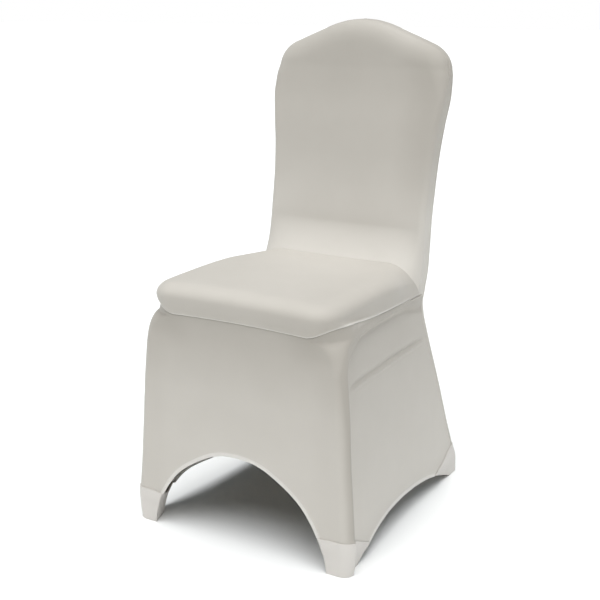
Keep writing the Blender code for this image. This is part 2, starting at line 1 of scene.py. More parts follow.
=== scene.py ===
"""Looks of a stretch knit cover for a crown-back banquet chair.

Lengths are in metres. The front faces -Y, +X is the sitter's left and the feet stand on z = 0.
Every piece of cloth is a fine sheet on the fold lines of its solid, with sewn edges that turn
inwards, hems that are folded under, and the soft unevenness of cloth pulled over a frame.
"""

import math

import bmesh
import bpy
import numpy as np
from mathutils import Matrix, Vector, kdtree, noise


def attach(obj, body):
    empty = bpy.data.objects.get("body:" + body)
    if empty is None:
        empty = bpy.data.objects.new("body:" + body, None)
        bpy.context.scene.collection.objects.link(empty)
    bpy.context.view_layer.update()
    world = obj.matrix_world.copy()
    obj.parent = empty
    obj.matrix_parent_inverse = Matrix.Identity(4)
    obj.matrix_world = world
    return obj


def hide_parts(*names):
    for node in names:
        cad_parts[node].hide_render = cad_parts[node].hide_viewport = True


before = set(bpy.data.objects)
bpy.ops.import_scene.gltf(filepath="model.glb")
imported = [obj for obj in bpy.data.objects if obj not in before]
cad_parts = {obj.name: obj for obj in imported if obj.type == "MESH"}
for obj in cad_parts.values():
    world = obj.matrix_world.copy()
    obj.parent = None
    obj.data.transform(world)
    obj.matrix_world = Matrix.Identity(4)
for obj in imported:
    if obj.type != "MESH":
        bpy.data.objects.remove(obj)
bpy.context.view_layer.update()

# Cloth
CLOTH = 0.0012
SEAM_GAP = 0.00006
GRID_STEP = 0.0028
FINEST_STEP = 0.0001
WELD = 0.00001
TINY = 0.000001

# Seat pad
SEAT_TOP = 0.499
SEAT_HALF_WIDTH = 0.1985
SEAT_FRONT = -0.2745
SEAT_CORNER = 0.050
SEAT_EDGE_INSET = 0.036
SEAT_EDGE_DEPTH = 0.024
SEAT_REAR = 0.088
SEAT_DOME = 0.005
SEAT_DOME_HALF_WIDTH = 0.20
SEAT_DOME_HALF_DEPTH = 0.18
SEAT_MIDDLE = -0.09
DOME_PART = 0.3
TUCK_POWER = 3.0
NECK_PART = 0.38

# Height of the seam under the pad at the middle of its front
FRONT_SEAM = 0.4375

# Front legs and the rails that they bend into
LEG_RADIUS = 0.021
RECESS = 0.010
GROOVE = 0.006
BEND = 0.040
BEND_RISE = 0.050
RIDGE_LENGTH = 0.110
RIDGE_RISE = 0.065
RAIL_HEIGHT = 0.4275
RAIL_DROP = 0.020
RAIL_DROP_RANGE = (0.0, 0.14)
SEAM_BEHIND_LEG = 0.020
SIDE_SAG = 0.004

# Brace between the legs, which shows through the side panel
BRACE_HEIGHT = 0.338
BRACE_RIDGE = 0.0028
BRACE_SOFTNESS = 0.0036
BRACE_FADE_IN = (0.02, 0.15)
BRACE_FADE_OUT = (0.85, 1.0)

# Backrest
BACK_DEPTH = 0.045
REAR_RADIUS = 0.008
SEAM_FROM_REAR = 0.012
BACK_BULGE = 0.005
SIDE_ROUND = 0.012
CROWN_INSET = 0.045
CROWN_DEPTH = 0.027
SHOULDER = 0.872
BACK_BOTTOM = 0.432
SWEEP_START = 0.560
SWEEP_END = 0.496
SWEEP = 0.030
SWEEP_POWER = 1.6
CORNER_POWER = 6
CROWN_ROUND = (0.80, 0.90)
SEAT_LINE_FLAT = 0.65
SLOPE_STEP = 0.001
EDGE_BLEND = 0.004

# Foot pockets, whose top edge laps over the skirt
POCKET_ROUND = 0.003
POCKET_DRAW_IN = 0.03
LAP = 0.0035
LAP_OUT = 0.0018

# The front of the arch on the sitter's right is pulled up more than on the left
PULL = 0.015
PULL_PLACE = -0.145
PULL_SPREAD = 0.070
PULL_SIDE = (0.10, 0.18)
PULL_FOOT = 0.020
PULL_HEIGHTS = (0.050, 0.350)

# Sewing
SEAM_ALLOWANCE = 0.005
LAP_ALLOWANCE = 0.0008
HEM_WIDTH = 0.007
HEM_FOLD = 0.0026
LIP_WIDTH = 0.0020
SEAT_LIP = 0.0018

# Relief of the cloth: its height, and how far it is from a seam or hem or how wide it is
SEAM_RIDGE = 0.0003
SEAM_RIDGE_PLACE = 0.0035
SEAM_RIDGE_WIDTH = 0.0025
SEAM_DIP = 0.0004
SEAM_DIP_WIDTH = 0.0012
HEM_RISE = 0.0006
HEM_STEP = 0.0008
HEM_SHADE_STEP = 0.0006
HEM_DIP = 0.0003
HEM_DIP_PLACE = HEM_WIDTH - 0.0016
HEM_DIP_WIDTH = 0.0006
PUCKER_HEIGHT = 0.00018
PUCKER_SCALE = 0.006
PUCKER_REACH = 0.004
SOFT_RELIEF = ((0.0005, 0.080), (0.00015, 0.024))
CALM_EDGE = 0.012

# About how long the panels are, to space their grids
FRONT_HEIGHT = 0.37
SIDE_HEIGHT = 0.39
PAD_LENGTH = 0.36
BACKREST_LENGTH = 0.50
REAR_LEG_LENGTH = 0.37
HALF_WIDTH = 0.165


class Table:
    """Rows of sizes under named columns. The first column is where each row stands."""

    def __init__(self, columns, *rows):
        names = columns.split()
        self.columns = {name: np.array(values) for name, values in zip(names, zip(*rows))}
        self.places = np.array([row[0] for row in rows])

    def at(self, place, column):
        """The column's values at places, on a smooth curve that never overshoots its rows."""
        places = self.places
        values = self.columns[column]
        steps = np.diff(places)
        rises = np.diff(values) / steps
        slopes = np.zeros(len(places))
        same_way = rises[:-1] * rises[1:] > 0
        total = np.where(same_way, rises[:-1] + rises[1:], 1.0)
        slopes[1:-1] = np.where(same_way, 2 * rises[:-1] * rises[1:] / total, 0.0)
        slopes[0] = rises[0]
        slopes[-1] = rises[-1]
        place = np.clip(place, places[0], places[-1])
        i = np.clip(np.searchsorted(places, place, side="right") - 1, 0, len(steps) - 1)
        t = (place - places[i]) / steps[i]
        start = slopes[i] * steps[i]
        end = slopes[i + 1] * steps[i]
        rise = values[i + 1] - values[i]
        curve = (3 * rise - 2 * start - end) * t**2 + (start + end - 2 * rise) * t**3
        return values[i] + start * t + curve


LEG = Table(
    "height half_width front",
    (0.000, 0.2400, -0.2715),
    (0.030, 0.2440, -0.2715),
    (0.100, 0.2398, -0.2695),
    (0.200, 0.2322, -0.2670),
    (0.300, 0.2262, -0.2640),
    (0.360, 0.2210, -0.2625),
    (0.400, 0.2152, -0.2615),
    (0.420, 0.2112, -0.2615),
    (0.440, 0.2057, -0.2620),
)

BACK = Table(
    "height half_width rear",
    (0.000, 0.2055, 0.2745),
    (0.030, 0.2055, 0.2740),
    (0.060, 0.2020, 0.2635),
    (0.120, 0.1990, 0.2385),
    (0.200, 0.1952, 0.2075),
    (0.280, 0.1920, 0.1735),
    (0.360, 0.1893, 0.1385),
    (0.390, 0.1880, 0.1275),
    (0.413, 0.1862, 0.1250),
    (0.436, 0.1848, 0.1350),
    (0.480, 0.1830, 0.1530),
    (0.520, 0.1810, 0.1620),
    (0.580, 0.1800, 0.1700),
    (0.640, 0.1807, 0.1800),
    (0.700, 0.1837, 0.1880),
    (0.760, 0.1897, 0.1960),
    (0.820, 0.1962, 0.2065),
    (0.850, 0.1965, 0.2105),
    (0.872, 0.1935, 0.2130),
    (0.960, 0.1935, 0.2150),
)

CROWN = Table(
    "across height",
    (0.0000, 0.9600),
    (0.0250, 0.9580),
    (0.0530, 0.9520),
    (0.0980, 0.9355),
    (0.1420, 0.9185),
    (0.1630, 0.9095),
    (0.1778, 0.8985),
    (0.1880, 0.8855),
    (0.1935, 0.8720),
)

FRONT_ARCH = Table(
    "across height",
    (0.0000, 0.1780),
    (0.0300, 0.1760),
    (0.0600, 0.1680),
    (0.0900, 0.1535),
    (0.1200, 0.1345),
    (0.1400, 0.1175),
    (0.1550, 0.0990),
    (0.1665, 0.0810),
    (0.1760, 0.0620),
)

SIDE_ARCH = Table(
    "along height",
    (-0.170, 0.0235),
    (-0.146, 0.0335),
    (-0.112, 0.0425),
    (-0.065, 0.0490),
    (-0.016, 0.0505),
    (0.042, 0.0480),
    (0.110, 0.0390),
    (0.150, 0.0295),
)

# The seam under the pad round its front corner, by the degrees turned, and along its side
CORNER_SEAM = Table(
    "turned height",
    (0, 0.4340),
    (15, 0.4375),
    (30, 0.4435),
    (45, 0.4495),
    (60, 0.4525),
    (75, 0.4530),
    (90, 0.4520),
)

SIDE_SEAM = Table(
    "along height",
    (-0.196, 0.4520),
    (-0.160, 0.4475),
    (-0.120, 0.4440),
    (-0.060, 0.4412),
    (-0.020, 0.4404),
    (0.020, 0.4385),
    (0.060, 0.4350),
    (0.095, 0.4320),
)

# Top edge of a foot pocket. Run is the distance from the middle of the corner's round,
# minus towards the front or back arch and plus along the side.
FRONT_POCKET = Table(
    "run height",
    (-0.0555, 0.0620),
    (-0.0300, 0.0640),
    (0.0000, 0.0635),
    (0.0200, 0.0600),
    (0.0400, 0.0520),
    (0.0700, 0.0370),
    (0.0980, 0.0235),
)

REAR_POCKET = Table(
    "run height",
    (-0.0500, 0.0620),
    (-0.0300, 0.0640),
    (0.0000, 0.0650),
    (0.0200, 0.0610),
    (0.0600, 0.0470),
    (0.1190, 0.0295),
)


def mix(start, end, part):
    return start + (end - start) * part


def ease(start, end, value):
    """0 before start, 1 after end, and a soft step between."""
    part = np.clip((value - start) / (end - start), 0.0, 1.0)
    return part * part * (3 - 2 * part)


def bump(value, centre, width):
    """A soft ridge of height 1."""
    return np.exp(-(((value - centre) / width) ** 2))


def rounding(distance, inset, depth):
    """How far a rounded edge has dropped at a distance in from it: a quarter of an ellipse."""
    part = np.clip((inset - distance) / inset, 0.0, 1.0)
    return depth * (1 - np.sqrt(1 - part * part))


def graded(length, fine_start=False, fine_end=False):
    """Fractions along a length, a grid step apart, and ever closer towards a fine end."""
    growth = []
    place = 0.0
    step = FINEST_STEP
    while step < GRID_STEP:
        place += step
        step += 2 * FINEST_STEP
        growth.append(place)
    start = [0.0] + growth if fine_start else [0.0]
    end = [length - place for place in reversed([0.0] + growth)] if fine_end else [length]
    count = max(round((end[0] - start[-1]) / GRID_STEP), 1)
    between = [mix(start[-1], end[0], i / count) for i in range(1, count)]
    return np.array(start + between + end) / length


# The skirt's surface, for the half at +X


def bend_setback(height):
    """How far the front leg has bent back at a height, on its way into the side rail."""
    part = np.clip((height - RAIL_HEIGHT) / BEND_RISE + 1, 0.0, 1.0)
    return BEND * (1 - np.sqrt(1 - part**2))


def leg_corner(height):
    """Radius of the skirt's front corner."""
    return LEG_RADIUS + bend_setback(height)


def behind_leg(y, height):
    """Distance behind the front leg and below its rail, seen from the side. Minus is on them."""
    back = y - (LEG.at(height, "front") + LEG_RADIUS)
    below = RAIL_HEIGHT - RAIL_DROP * ease(*RAIL_DROP_RANGE, y) - height
    along = np.maximum(RIDGE_LENGTH - back, TINY)
    down = np.maximum(RIDGE_RISE - below, TINY)
    reach = np.hypot(along, down)
    on_bend = reach / np.hypot(along / RIDGE_LENGTH, down / RIDGE_RISE) - reach
    straight = (back >= RIDGE_LENGTH) | (below >= RIDGE_RISE)
    return np.where(straight, np.minimum(back, below), on_bend)


def side_start(height):
    """Where the rounded corner ends and the side starts."""
    return LEG.at(height, "front") + leg_corner(height)


def side_seam(height):
    """Where the front skirt is sewn to the side skirt."""
    return side_start(height) + SEAM_BEHIND_LEG


def rear_seam(height):
    """Where the outside back is sewn on."""
    return BACK.at(height, "rear") - SEAM_FROM_REAR


def side_x(y, height):
    """Half width of the cover's side at a place along it."""
    start = side_start(height)
    part = np.clip((y - start) / (rear_seam(height) - start), 0.0, 1.0)
    flat = mix(LEG.at(height, "half_width") - RECESS, BACK.at(height, "half_width"), part)
    sag = SIDE_SAG * np.sin(np.pi * part)
    past_leg = np.maximum(behind_leg(y, height), 0.0)
    leg = RECESS * (1 - part**CORNER_POWER) * bump(past_leg, 0.0, GROOVE)
    rise = (BRACE_HEIGHT - height) / BRACE_SOFTNESS
    brace = BRACE_RIDGE * rise * np.exp((1 - rise * rise) / 2)
    brace = brace * ease(*BRACE_FADE_IN, part) * (1 - ease(*BRACE_FADE_OUT, part))
    return flat - sag + leg + brace


def corner_start(height):
    """Where the skirt's front ends and its rounded corner starts."""
    return side_x(side_start(height), height) - leg_corner(height)


def corner_point(angle, height):
    """A point of the front corner, by the angle turned from the front to the side."""
    radius = leg_corner(height)
    x = corner_start(height) + radius * np.sin(angle)
    y = LEG.at(height, "front") + radius * (1 - np.cos(angle))
    return x, y


def front_seam_height(part):
    return mix(FRONT_SEAM, corner_seam_height(0), part**2)


def corner_seam_height(angle):
    return CORNER_SEAM.at(np.degrees(angle), "height")


def side_seam_height(y):
    return SIDE_SEAM.at(y, "height")


# Hems, for the half at +X

ARCH_END = FRONT_ARCH.places[-1]
SIDE_ARCH_START = SIDE_ARCH.places[0]
SIDE_ARCH_END = SIDE_ARCH.places[-1]
HEM_LEVEL = 0.060
HALF_ARC = math.pi / 4
FRONT_CORNER_START = float(corner_start(HEM_LEVEL))
HEM_HALF_WIDTH = float(BACK.at(HEM_LEVEL, "half_width"))
BACK_CORNER_START = HEM_HALF_WIDTH - REAR_RADIUS


def front_hem(x):
    run = x - FRONT_CORNER_START - LEG_RADIUS * HALF_ARC
    return np.where(x <= ARCH_END, FRONT_ARCH.at(x, "height"), FRONT_POCKET.at(run, "height"))


def corner_hem(angle):
    return FRONT_POCKET.at(LEG_RADIUS * (angle - HALF_ARC), "height")


def side_hem(y):
    front_run = y - side_start(HEM_LEVEL) + LEG_RADIUS * HALF_ARC
    back_run = BACK.at(HEM_LEVEL, "rear") - REAR_RADIUS - y + REAR_RADIUS * HALF_ARC
    arch = SIDE_ARCH.at(y, "height")
    hem = np.where(y < SIDE_ARCH_START, FRONT_POCKET.at(front_run, "height"), arch)
    return np.where(y > SIDE_ARCH_END, REAR_POCKET.at(back_run, "height"), hem)


REAR_ARCH_END = BACK_CORNER_START + REAR_POCKET.places[0] + REAR_RADIUS * HALF_ARC

# Where the arches' hems end on their panels, as parts of the panels' widths
FRONT_ARCH_PART = ARCH_END / FRONT_CORNER_START
BACK_ARCH_PART = REAR_ARCH_END / HEM_HALF_WIDTH
SIDE_ARCH_PARTS = [
    float((y - side_seam(HEM_LEVEL)) / (rear_seam(HEM_LEVEL) - side_seam(HEM_LEVEL)))
    for y in (SIDE_ARCH_START, SIDE_ARCH_END)
]


def rear_hem(x):
    run = x - BACK_CORNER_START - REAR_RADIUS * HALF_ARC
    arch = FRONT_ARCH.at(x * ARCH_END / REAR_ARCH_END, "height")
    return np.where(x <= REAR_ARCH_END, arch, REAR_POCKET.at(run, "height"))


# Front skirt: q runs 0 to 1 over the flat front, to 2 round the corner, to 3 to the side seam


def front_skirt_point(q, v, _wall):
    side = np.sign(q)
    q = np.abs(q)
    flat = np.clip(q, 0, 1)
    angle = np.clip(q - 1, 0, 1) * math.pi / 2
    strip = np.clip(q - 2, 0, 1)
    y_hem = mix(side_start(HEM_LEVEL), side_seam(HEM_LEVEL), strip)
    y_top = mix(side_start(BACK_BOTTOM), side_seam(BACK_BOTTOM), strip)
    hems = [front_hem(flat * FRONT_CORNER_START), corner_hem(angle), side_hem(y_hem)]
    seams = [front_seam_height(flat), corner_seam_height(angle), side_seam_height(y_top)]
    zones = [q <= 1, q <= 2, q > 2]
    bottom = np.select(zones, hems) + SEAM_GAP / 2
    top = np.select(zones, seams) - SEAM_GAP / 2
    z = mix(bottom, top, v)
    corner_x, corner_y = corner_point(angle, z)
    y_side = mix(side_start(z), side_seam(z) - SEAM_GAP / 2, strip)
    x = np.select(zones, [flat * corner_start(z), corner_x, side_x(y_side, z)])
    y = np.select(zones, [LEG.at(z, "front"), corner_y, y_side])
    return side * x, y, z


def side_skirt_point(u, v, _wall):
    y_hem = mix(side_seam(HEM_LEVEL), rear_seam(HEM_LEVEL), u)
    y_top = mix(side_seam(BACK_BOTTOM), rear_seam(BACK_BOTTOM), u)
    z = mix(side_hem(y_hem) + SEAM_GAP / 2, side_seam_height(y_top) - SEAM_GAP / 2, v)
    y = mix(side_seam(z) + SEAM_GAP / 2, rear_seam(z) - SEAM_GAP / 2, u)
    return side_x(y, z), y, z


# Backrest


def crown_height(x):
    return CROWN.at(np.abs(x), "height")


def edge_distance(x, z):
    """Distance in from the backrest's outline, with a soft blend between sides and crown."""
    x = np.abs(x)
    ahead = np.minimum(x + SLOPE_STEP, CROWN.places[-1])
    behind = ahead - 2 * SLOPE_STEP
    slope = (crown_height(ahead) - crown_height(behind)) / (2 * SLOPE_STEP)
    from_crown = (crown_height(x) - z) / np.hypot(1, slope)
    from_side = BACK.at(z, "half_width") - x
    nearer = np.minimum(from_crown, from_side)
    apart = np.abs(from_crown - from_side)
    return np.maximum(nearer - EDGE_BLEND * np.log1p(np.exp(-apart / EDGE_BLEND)), 0.0)


def inside_face(x, z):
    """Front of the backrest, without its rounded edge."""
    part = np.minimum(np.abs(x) / BACK.at(z, "half_width"), 1.0)
    drop = np.maximum(SWEEP_START - z, 0.0) / (SWEEP_START - SWEEP_END)
    sweep = SWEEP * drop**SWEEP_POWER * (1 - part**CORNER_POWER)
    bulge = BACK_BULGE * (1 - part**2)
    return BACK.at(z, "rear") - BACK_DEPTH - sweep - bulge


def seat_line_height(u):
    """Height of the seam between the backrest and the seat pad, across the chair."""
    fall = np.clip((np.abs(u) - SEAT_LINE_FLAT) / (1 - SEAT_LINE_FLAT), 0.0, 1.0)
    return mix(BACK_BOTTOM, SWEEP_END, np.sqrt(1 - fall**2))


def inside_back_point(u, v, wall):
    bottom = seat_line_height(u) + SEAM_GAP / 2
    side_height = mix(BACK_BOTTOM + SEAM_GAP / 2, SHOULDER, v)
    x = u * BACK.at(side_height, "half_width")
    z = mix(bottom, crown_height(u * CROWN.places[-1]), v)
    crowned = ease(*CROWN_ROUND, z)
    inset = mix(SIDE_ROUND, CROWN_INSET, crowned)
    depth = mix(SIDE_ROUND, CROWN_DEPTH, crowned)
    on_edge = (np.abs(u) == 1) | (v == 1)
    distance = np.where(on_edge, 0.0, edge_distance(x, z))
    face = inside_face(x, z)
    seam = BACK.at(z, "rear") - SEAM_FROM_REAR - SEAM_GAP / 2
    return x, mix(face + rounding(distance, inset, depth), seam, wall), z


def outside_back_point(u, v, wall):
    """v runs from -1 at the hem to 0 at the height of the seat seam, and on to 1 at the crown."""
    hem = rear_hem(np.abs(u) * HEM_HALF_WIDTH)
    hem = np.where(wall > 0, mix(hem, side_hem(rear_seam(HEM_LEVEL)), wall), hem) + SEAM_GAP / 2
    side_hem_height = rear_hem(HEM_HALF_WIDTH) + SEAM_GAP / 2
    below = v < 0
    low = np.clip(-v, 0, 1)
    high = np.clip(v, 0, 1)
    crown = crown_height(u * CROWN.places[-1])
    z = np.where(below, mix(BACK_BOTTOM, hem, low), mix(BACK_BOTTOM, crown, high))
    side_low = mix(BACK_BOTTOM, side_hem_height, low)
    side_height = np.where(below, side_low, mix(BACK_BOTTOM, SHOULDER, high))
    x = u * BACK.at(side_height, "half_width")
    rear = BACK.at(z, "rear")
    on_edge = (np.abs(u) == 1) | (v == 1)
    distance = np.where(on_edge, 0.0, edge_distance(x, z))
    face = rear - rounding(distance, REAR_RADIUS, REAR_RADIUS)
    return x, mix(face, rear - SEAM_FROM_REAR + SEAM_GAP / 2, wall), z


# Seat

# The middle of the round of the pad's front corner
ROUND_X = SEAT_HALF_WIDTH - SEAT_CORNER
ROUND_Y = SEAT_FRONT + SEAT_CORNER


def seat_front(x):
    """Front outline of the pad, with its rounded corners."""
    over = np.clip(np.abs(x) - ROUND_X, 0.0, SEAT_CORNER)
    return ROUND_Y - np.sqrt(SEAT_CORNER**2 - over**2)


def seat_half_width(y):
    over = np.clip(ROUND_Y - y, 0.0, SEAT_CORNER)
    return ROUND_X + np.sqrt(SEAT_CORNER**2 - over**2)


def seat_edge_distance(x, y):
    """Distance in from the pad's outline."""
    beside = np.abs(x) - ROUND_X
    ahead = ROUND_Y - y
    in_corner = (beside > 0) & (ahead > 0)
    reach = np.where(in_corner, np.hypot(beside, ahead), np.maximum(beside, ahead))
    return np.maximum(SEAT_CORNER - reach, 0.0)


SEAT_LINE_END = float(BACK.at(BACK_BOTTOM, "rear")) - BACK_DEPTH + SIDE_ROUND


def seat_seam_point(x, y):
    """The place on the seat's lower seam below a place on the pad's widest line."""
    side = np.sign(x)
    beside = np.abs(x) - ROUND_X
    ahead = ROUND_Y - y
    part = np.abs(x) / ROUND_X
    front_z = front_seam_height(part)
    angle = np.arctan2(np.maximum(beside, 0), np.maximum(ahead, 0))
    corner_z = corner_seam_height(angle)
    corner_x, corner_y = corner_point(angle, corner_z)
    back_part = (SEAT_REAR - y) / (SEAT_REAR - SEAT_FRONT - SEAT_CORNER)
    along = mix(SEAT_LINE_END, side_start(BACK_BOTTOM), back_part)
    side_z = side_seam_height(along)
    zones = [beside <= 0, ahead > 0]
    seam_x = np.select(zones, [part * corner_start(front_z), corner_x], side_x(along, side_z))
    seam_y = np.select(zones, [LEG.at(front_z, "front"), corner_y], along)
    seam_z = np.select(zones, [front_z, corner_z], side_z)
    return side * seam_x, seam_y, seam_z + SEAM_GAP / 2


def pad_point(u, v, wall):
    """A point of the pad before it narrows to the backrest."""
    corner = SEAT_CORNER * math.sin(math.pi / 4)
    corner_x = ROUND_X + corner
    corner_y = ROUND_Y - corner
    x = u * seat_half_width(mix(SEAT_REAR, corner_y, v))
    y = mix(SEAT_REAR, seat_front(u * corner_x), v)
    on_edge = (np.abs(u) == 1) | (v == 1)
    distance = np.where(on_edge, 0.0, seat_edge_distance(x, y))
    across = x / SEAT_DOME_HALF_WIDTH
    along = (y - SEAT_MIDDLE) / SEAT_DOME_HALF_DEPTH
    dome = mix(SEAT_DOME * (across**2 + along**2), SEAT_DOME, ease(0.0, DOME_PART, wall))
    edge = SEAT_TOP - dome - rounding(distance, SEAT_EDGE_INSET, SEAT_EDGE_DEPTH)
    seam_x, seam_y, seam_z = seat_seam_point(x, y)
    tuck = wall**TUCK_POWER
    return mix(x, seam_x, tuck), mix(y, seam_y, tuck), mix(edge, seam_z, wall)


# Where the pad's columns go as it narrows to the backrest
SEAT_COLUMNS = [0.0, 0.22, 0.43, 0.62, 0.78, 0.90, 0.97, 1.0]
NECK_COLUMNS = [0.0, 0.20, 0.40, 0.58, 0.74, 0.86, 0.93, 0.965]


def seat_panel_point(u, v, wall):
    x, y, z = pad_point(u, v, wall)
    neck = mix(np.interp(np.abs(u), SEAT_COLUMNS, NECK_COLUMNS), 1.0, wall)
    line = inside_back_point(np.copysign(neck, u), np.zeros_like(u), np.zeros_like(u))
    start = pad_point(u, np.zeros_like(u), wall)
    fade = 1 - ease(0.0, NECK_PART, v)
    x = x + fade * (line[0] - start[0])
    y = y + fade * (line[1] - SEAM_GAP - start[1])
    z = z + fade * (line[2] - SEAM_GAP / 2 - start[2])
    return x, y, z


# Foot pockets


def foot_point(end, run, height, out=0.0):
    """A point by a foot, by its run from the middle of the corner, and how far out it stands."""
    if end == "front":
        radius = LEG_RADIUS
        face = LEG.at(height, "front")
        towards = 1
        outer = corner_start(height) + radius
    else:
        radius = REAR_RADIUS
        face = BACK.at(height, "rear")
        towards = -1
        outer = BACK.at(height, "half_width")
    half_arc = radius * HALF_ARC
    angle = np.clip(HALF_ARC + run / radius, 0.0, math.pi / 2)
    along_face = np.minimum(run + half_arc, 0.0)
    along_side = np.maximum(run - half_arc, 0.0)
    x = outer - radius + (radius + out) * np.sin(angle) + along_face
    y = face + towards * (radius - (radius + out) * np.cos(angle) + along_side)
    return np.where(along_side > 0, side_x(y, height) + out, x), y, height


class Pocket:
    """A pocket that takes one foot: a flat base, two outer walls and two inner ones.

    On its grid the outer walls are at v = 0 and u = 1, and meet at the corner of the leg.
    """

    def __init__(self, end, rim_runs, base_runs, inner_base, inner_rim):
        self.end = end
        self.rim_runs = rim_runs
        self.base_runs = base_runs
        self.inner_base = inner_base
        self.inner_rim = inner_rim
        self.rims = FRONT_POCKET if end == "front" else REAR_POCKET

    def outer_wall(self, share, part):
        """share runs from -1 at the arch's end of the face, past 0 at the corner, to 1."""
        base_run = np.where(share < 0, -self.base_runs[0], self.base_runs[1]) * share
        rim_run = np.where(share < 0, -self.rim_runs[0], self.rim_runs[1]) * share
        base = foot_point(self.end, base_run, np.full_like(share, POCKET_ROUND))
        run = mix(base_run, rim_run, part)
        height = mix(base[2], self.rims.at(rim_run, "height") + LAP, part)
        return foot_point(self.end, run, height, LAP_OUT * ease(*LAP_PART, part))

    def wall(self, u, v, part):
        """A point of a wall, part of the way from the base to the rim."""
        outer = self.outer_wall(np.where(v <= 0, u - 1, v), part)
        face_edge = self.outer_wall(np.full_like(u, -1.0), part)
        side_edge = self.outer_wall(np.full_like(u, 1.0), part)
        inner = [mix(a, b, part) for a, b in zip(self.inner_base, self.inner_rim)]
        on_outer = (v <= 0) | (u >= 1)
        point = []
        for i in range(3):
            by_face = mix(face_edge[i], inner[i], v)
            by_side = mix(inner[i], side_edge[i], u)
            point.append(np.where(on_outer, outer[i], np.where(u <= 0, by_face, by_side)))
        return point

    def base(self, u, v):
        """A point of the flat base, worked out from its four edges and drawn in a little."""
        zero = np.zeros_like(u)
        one = np.ones_like(u)
        near, far = self.wall(u, zero, zero), self.wall(u, one, zero)
        left, right = self.wall(zero, v, zero), self.wall(one, v, zero)
        corners = [[self.wall(a, b, zero) for a in (zero, one)] for b in (zero, one)]
        point = []
        for i in range(2):
            ends = [mix(row[0][i], row[1][i], u) for row in corners]
            value = mix(near[i], far[i], v) + mix(left[i], right[i], u) - mix(*ends, v)
            centre = sum(corner[i] for row in corners for corner in row) / 4
            point.append(mix(value, centre, POCKET_DRAW_IN))
        return point[0], point[1], zero

    def __call__(self, u, v, wall):
        """A wall goes round from the base to its first line, and then up to the rim."""
        base = self.base(u, v)
        part = np.clip((wall - POCKET_TURN) / (1 - POCKET_TURN), 0, 1)
        side = self.wall(u, v, part)
        turn = np.clip(wall / POCKET_TURN, 0, 1) * math.pi / 2
        x = mix(base[0], side[0], np.sin(turn))
        y = mix(base[1], side[1], np.sin(turn))
        z = np.where(wall < POCKET_TURN, POCKET_ROUND * (1 - np.cos(turn)), side[2])
        return x, y, z


POCKET_TURN = 0.12
LAP_PART = (0.45, 0.80)
FRONT_FOOT = Pocket(
    "front",
    rim_runs=(-0.0615, FRONT_POCKET.places[-1]),
    base_runs=(-0.0415, 0.0560),
    inner_base=(0.2080, -0.2300, POCKET_ROUND),
    inner_rim=(0.2040, -0.2200, 0.0380),
)
REAR_FOOT = Pocket(
    "back",
    rim_runs=(REAR_POCKET.places[0], REAR_POCKET.places[-1]),
    base_runs=(-0.0300, 0.0400),
    inner_base=(0.1760, 0.2400, POCKET_ROUND),
    inner_rim=(0.1780, 0.2140, 0.0410),
)
FEET = {"front": FRONT_FOOT, "back": REAR_FOOT}


# Making a sheet: its grid, its sewn edges and hems, and the thickness of the cloth


def pulled_up(x, y, z):
    """The place of a point once the arch on the sitter's right has been pulled up."""
    beside = ease(*PULL_SIDE, -x)
    above_floor = ease(0.0, PULL_FOOT, z) * (1 - ease(*PULL_HEIGHTS, z))
    return x, y, z + PULL * beside * above_floor * bump(y, PULL_PLACE, PULL_SPREAD)


def mirrored(place):
    """The same points on the other side of the chair."""

    def other_side(u, v, wall):
        x, y, z = place(u, v, wall)
        return -x, y, z

    return other_side


def with_walls(places, wall_before, wall_after):
    """Grid lines as pairs of a place on the floor of a tray and a height up its walls."""
    before = [(places[0], wall) for wall in wall_before[:0:-1]]
    after = [(places[-1], wall) for wall in wall_after[1:]]
    return np.array(before + [(place, 0.0) for place in places] + after)


def deselect_all():
    bpy.ops.object.select_all(action="DESELECT")


def cloth_grid(name, columns, rows, place, flip):
    """A grid primitive that place(u, v, wall) puts in space, with its UV map in metres."""
    deselect_all()
    across = len(columns) - 1
    along = len(rows) - 1
    bpy.ops.mesh.primitive_grid_add(x_subdivisions=across, y_subdivisions=along, size=1)
    piece = bpy.context.object
    piece.name = name
    mesh = piece.data
    mesh.name = name
    flat = np.zeros(len(mesh.vertices) * 3)
    mesh.vertices.foreach_get("co", flat)
    flat = flat.reshape(-1, 3)
    column = np.round((flat[:, 0] + 0.5) * across).astype(int)
    row = np.round((flat[:, 1] + 0.5) * along).astype(int)
    wall = np.maximum(columns[column, 1], rows[row, 1])
    points = np.stack(pulled_up(*place(columns[column, 0], rows[row, 0], wall)), axis=1)
    mesh.vertices.foreach_set("co", points.ravel())
    set_cloth_uv(mesh, points, column, row)
    for key, values in (("column", column), ("row", row)):
        attribute = mesh.attributes.new(key, "INT", "POINT")
        attribute.data.foreach_set("value", values.astype(np.int32))
    remove_tray_corners(mesh, columns, rows)
    if flip:
        mesh.flip_normals()
    return piece


def set_cloth_uv(mesh, points, column, row):
    """Measures the cloth along its middle row and middle column, so a pattern keeps its size."""
    grid = np.zeros((column.max() + 1, row.max() + 1, 3))
    grid[column, row] = points
    middle_row = grid[:, grid.shape[1] // 2]
    middle_column = grid[grid.shape[0] // 2]
    run_u = np.insert(np.cumsum(np.linalg.norm(np.diff(middle_row, axis=0), axis=1)), 0, 0.0)
    run_v = np.insert(np.cumsum(np.linalg.norm(np.diff(middle_column, axis=0), axis=1)), 0, 0.0)
    corner = np.zeros(len(mesh.loops), dtype=np.int32)
    mesh.loops.foreach_get("vertex_index", corner)
    uv = np.stack([run_u[column[corner]], run_v[row[corner]]], axis=1)
    mesh.uv_layers.active.data.foreach_set("uv", uv.ravel())


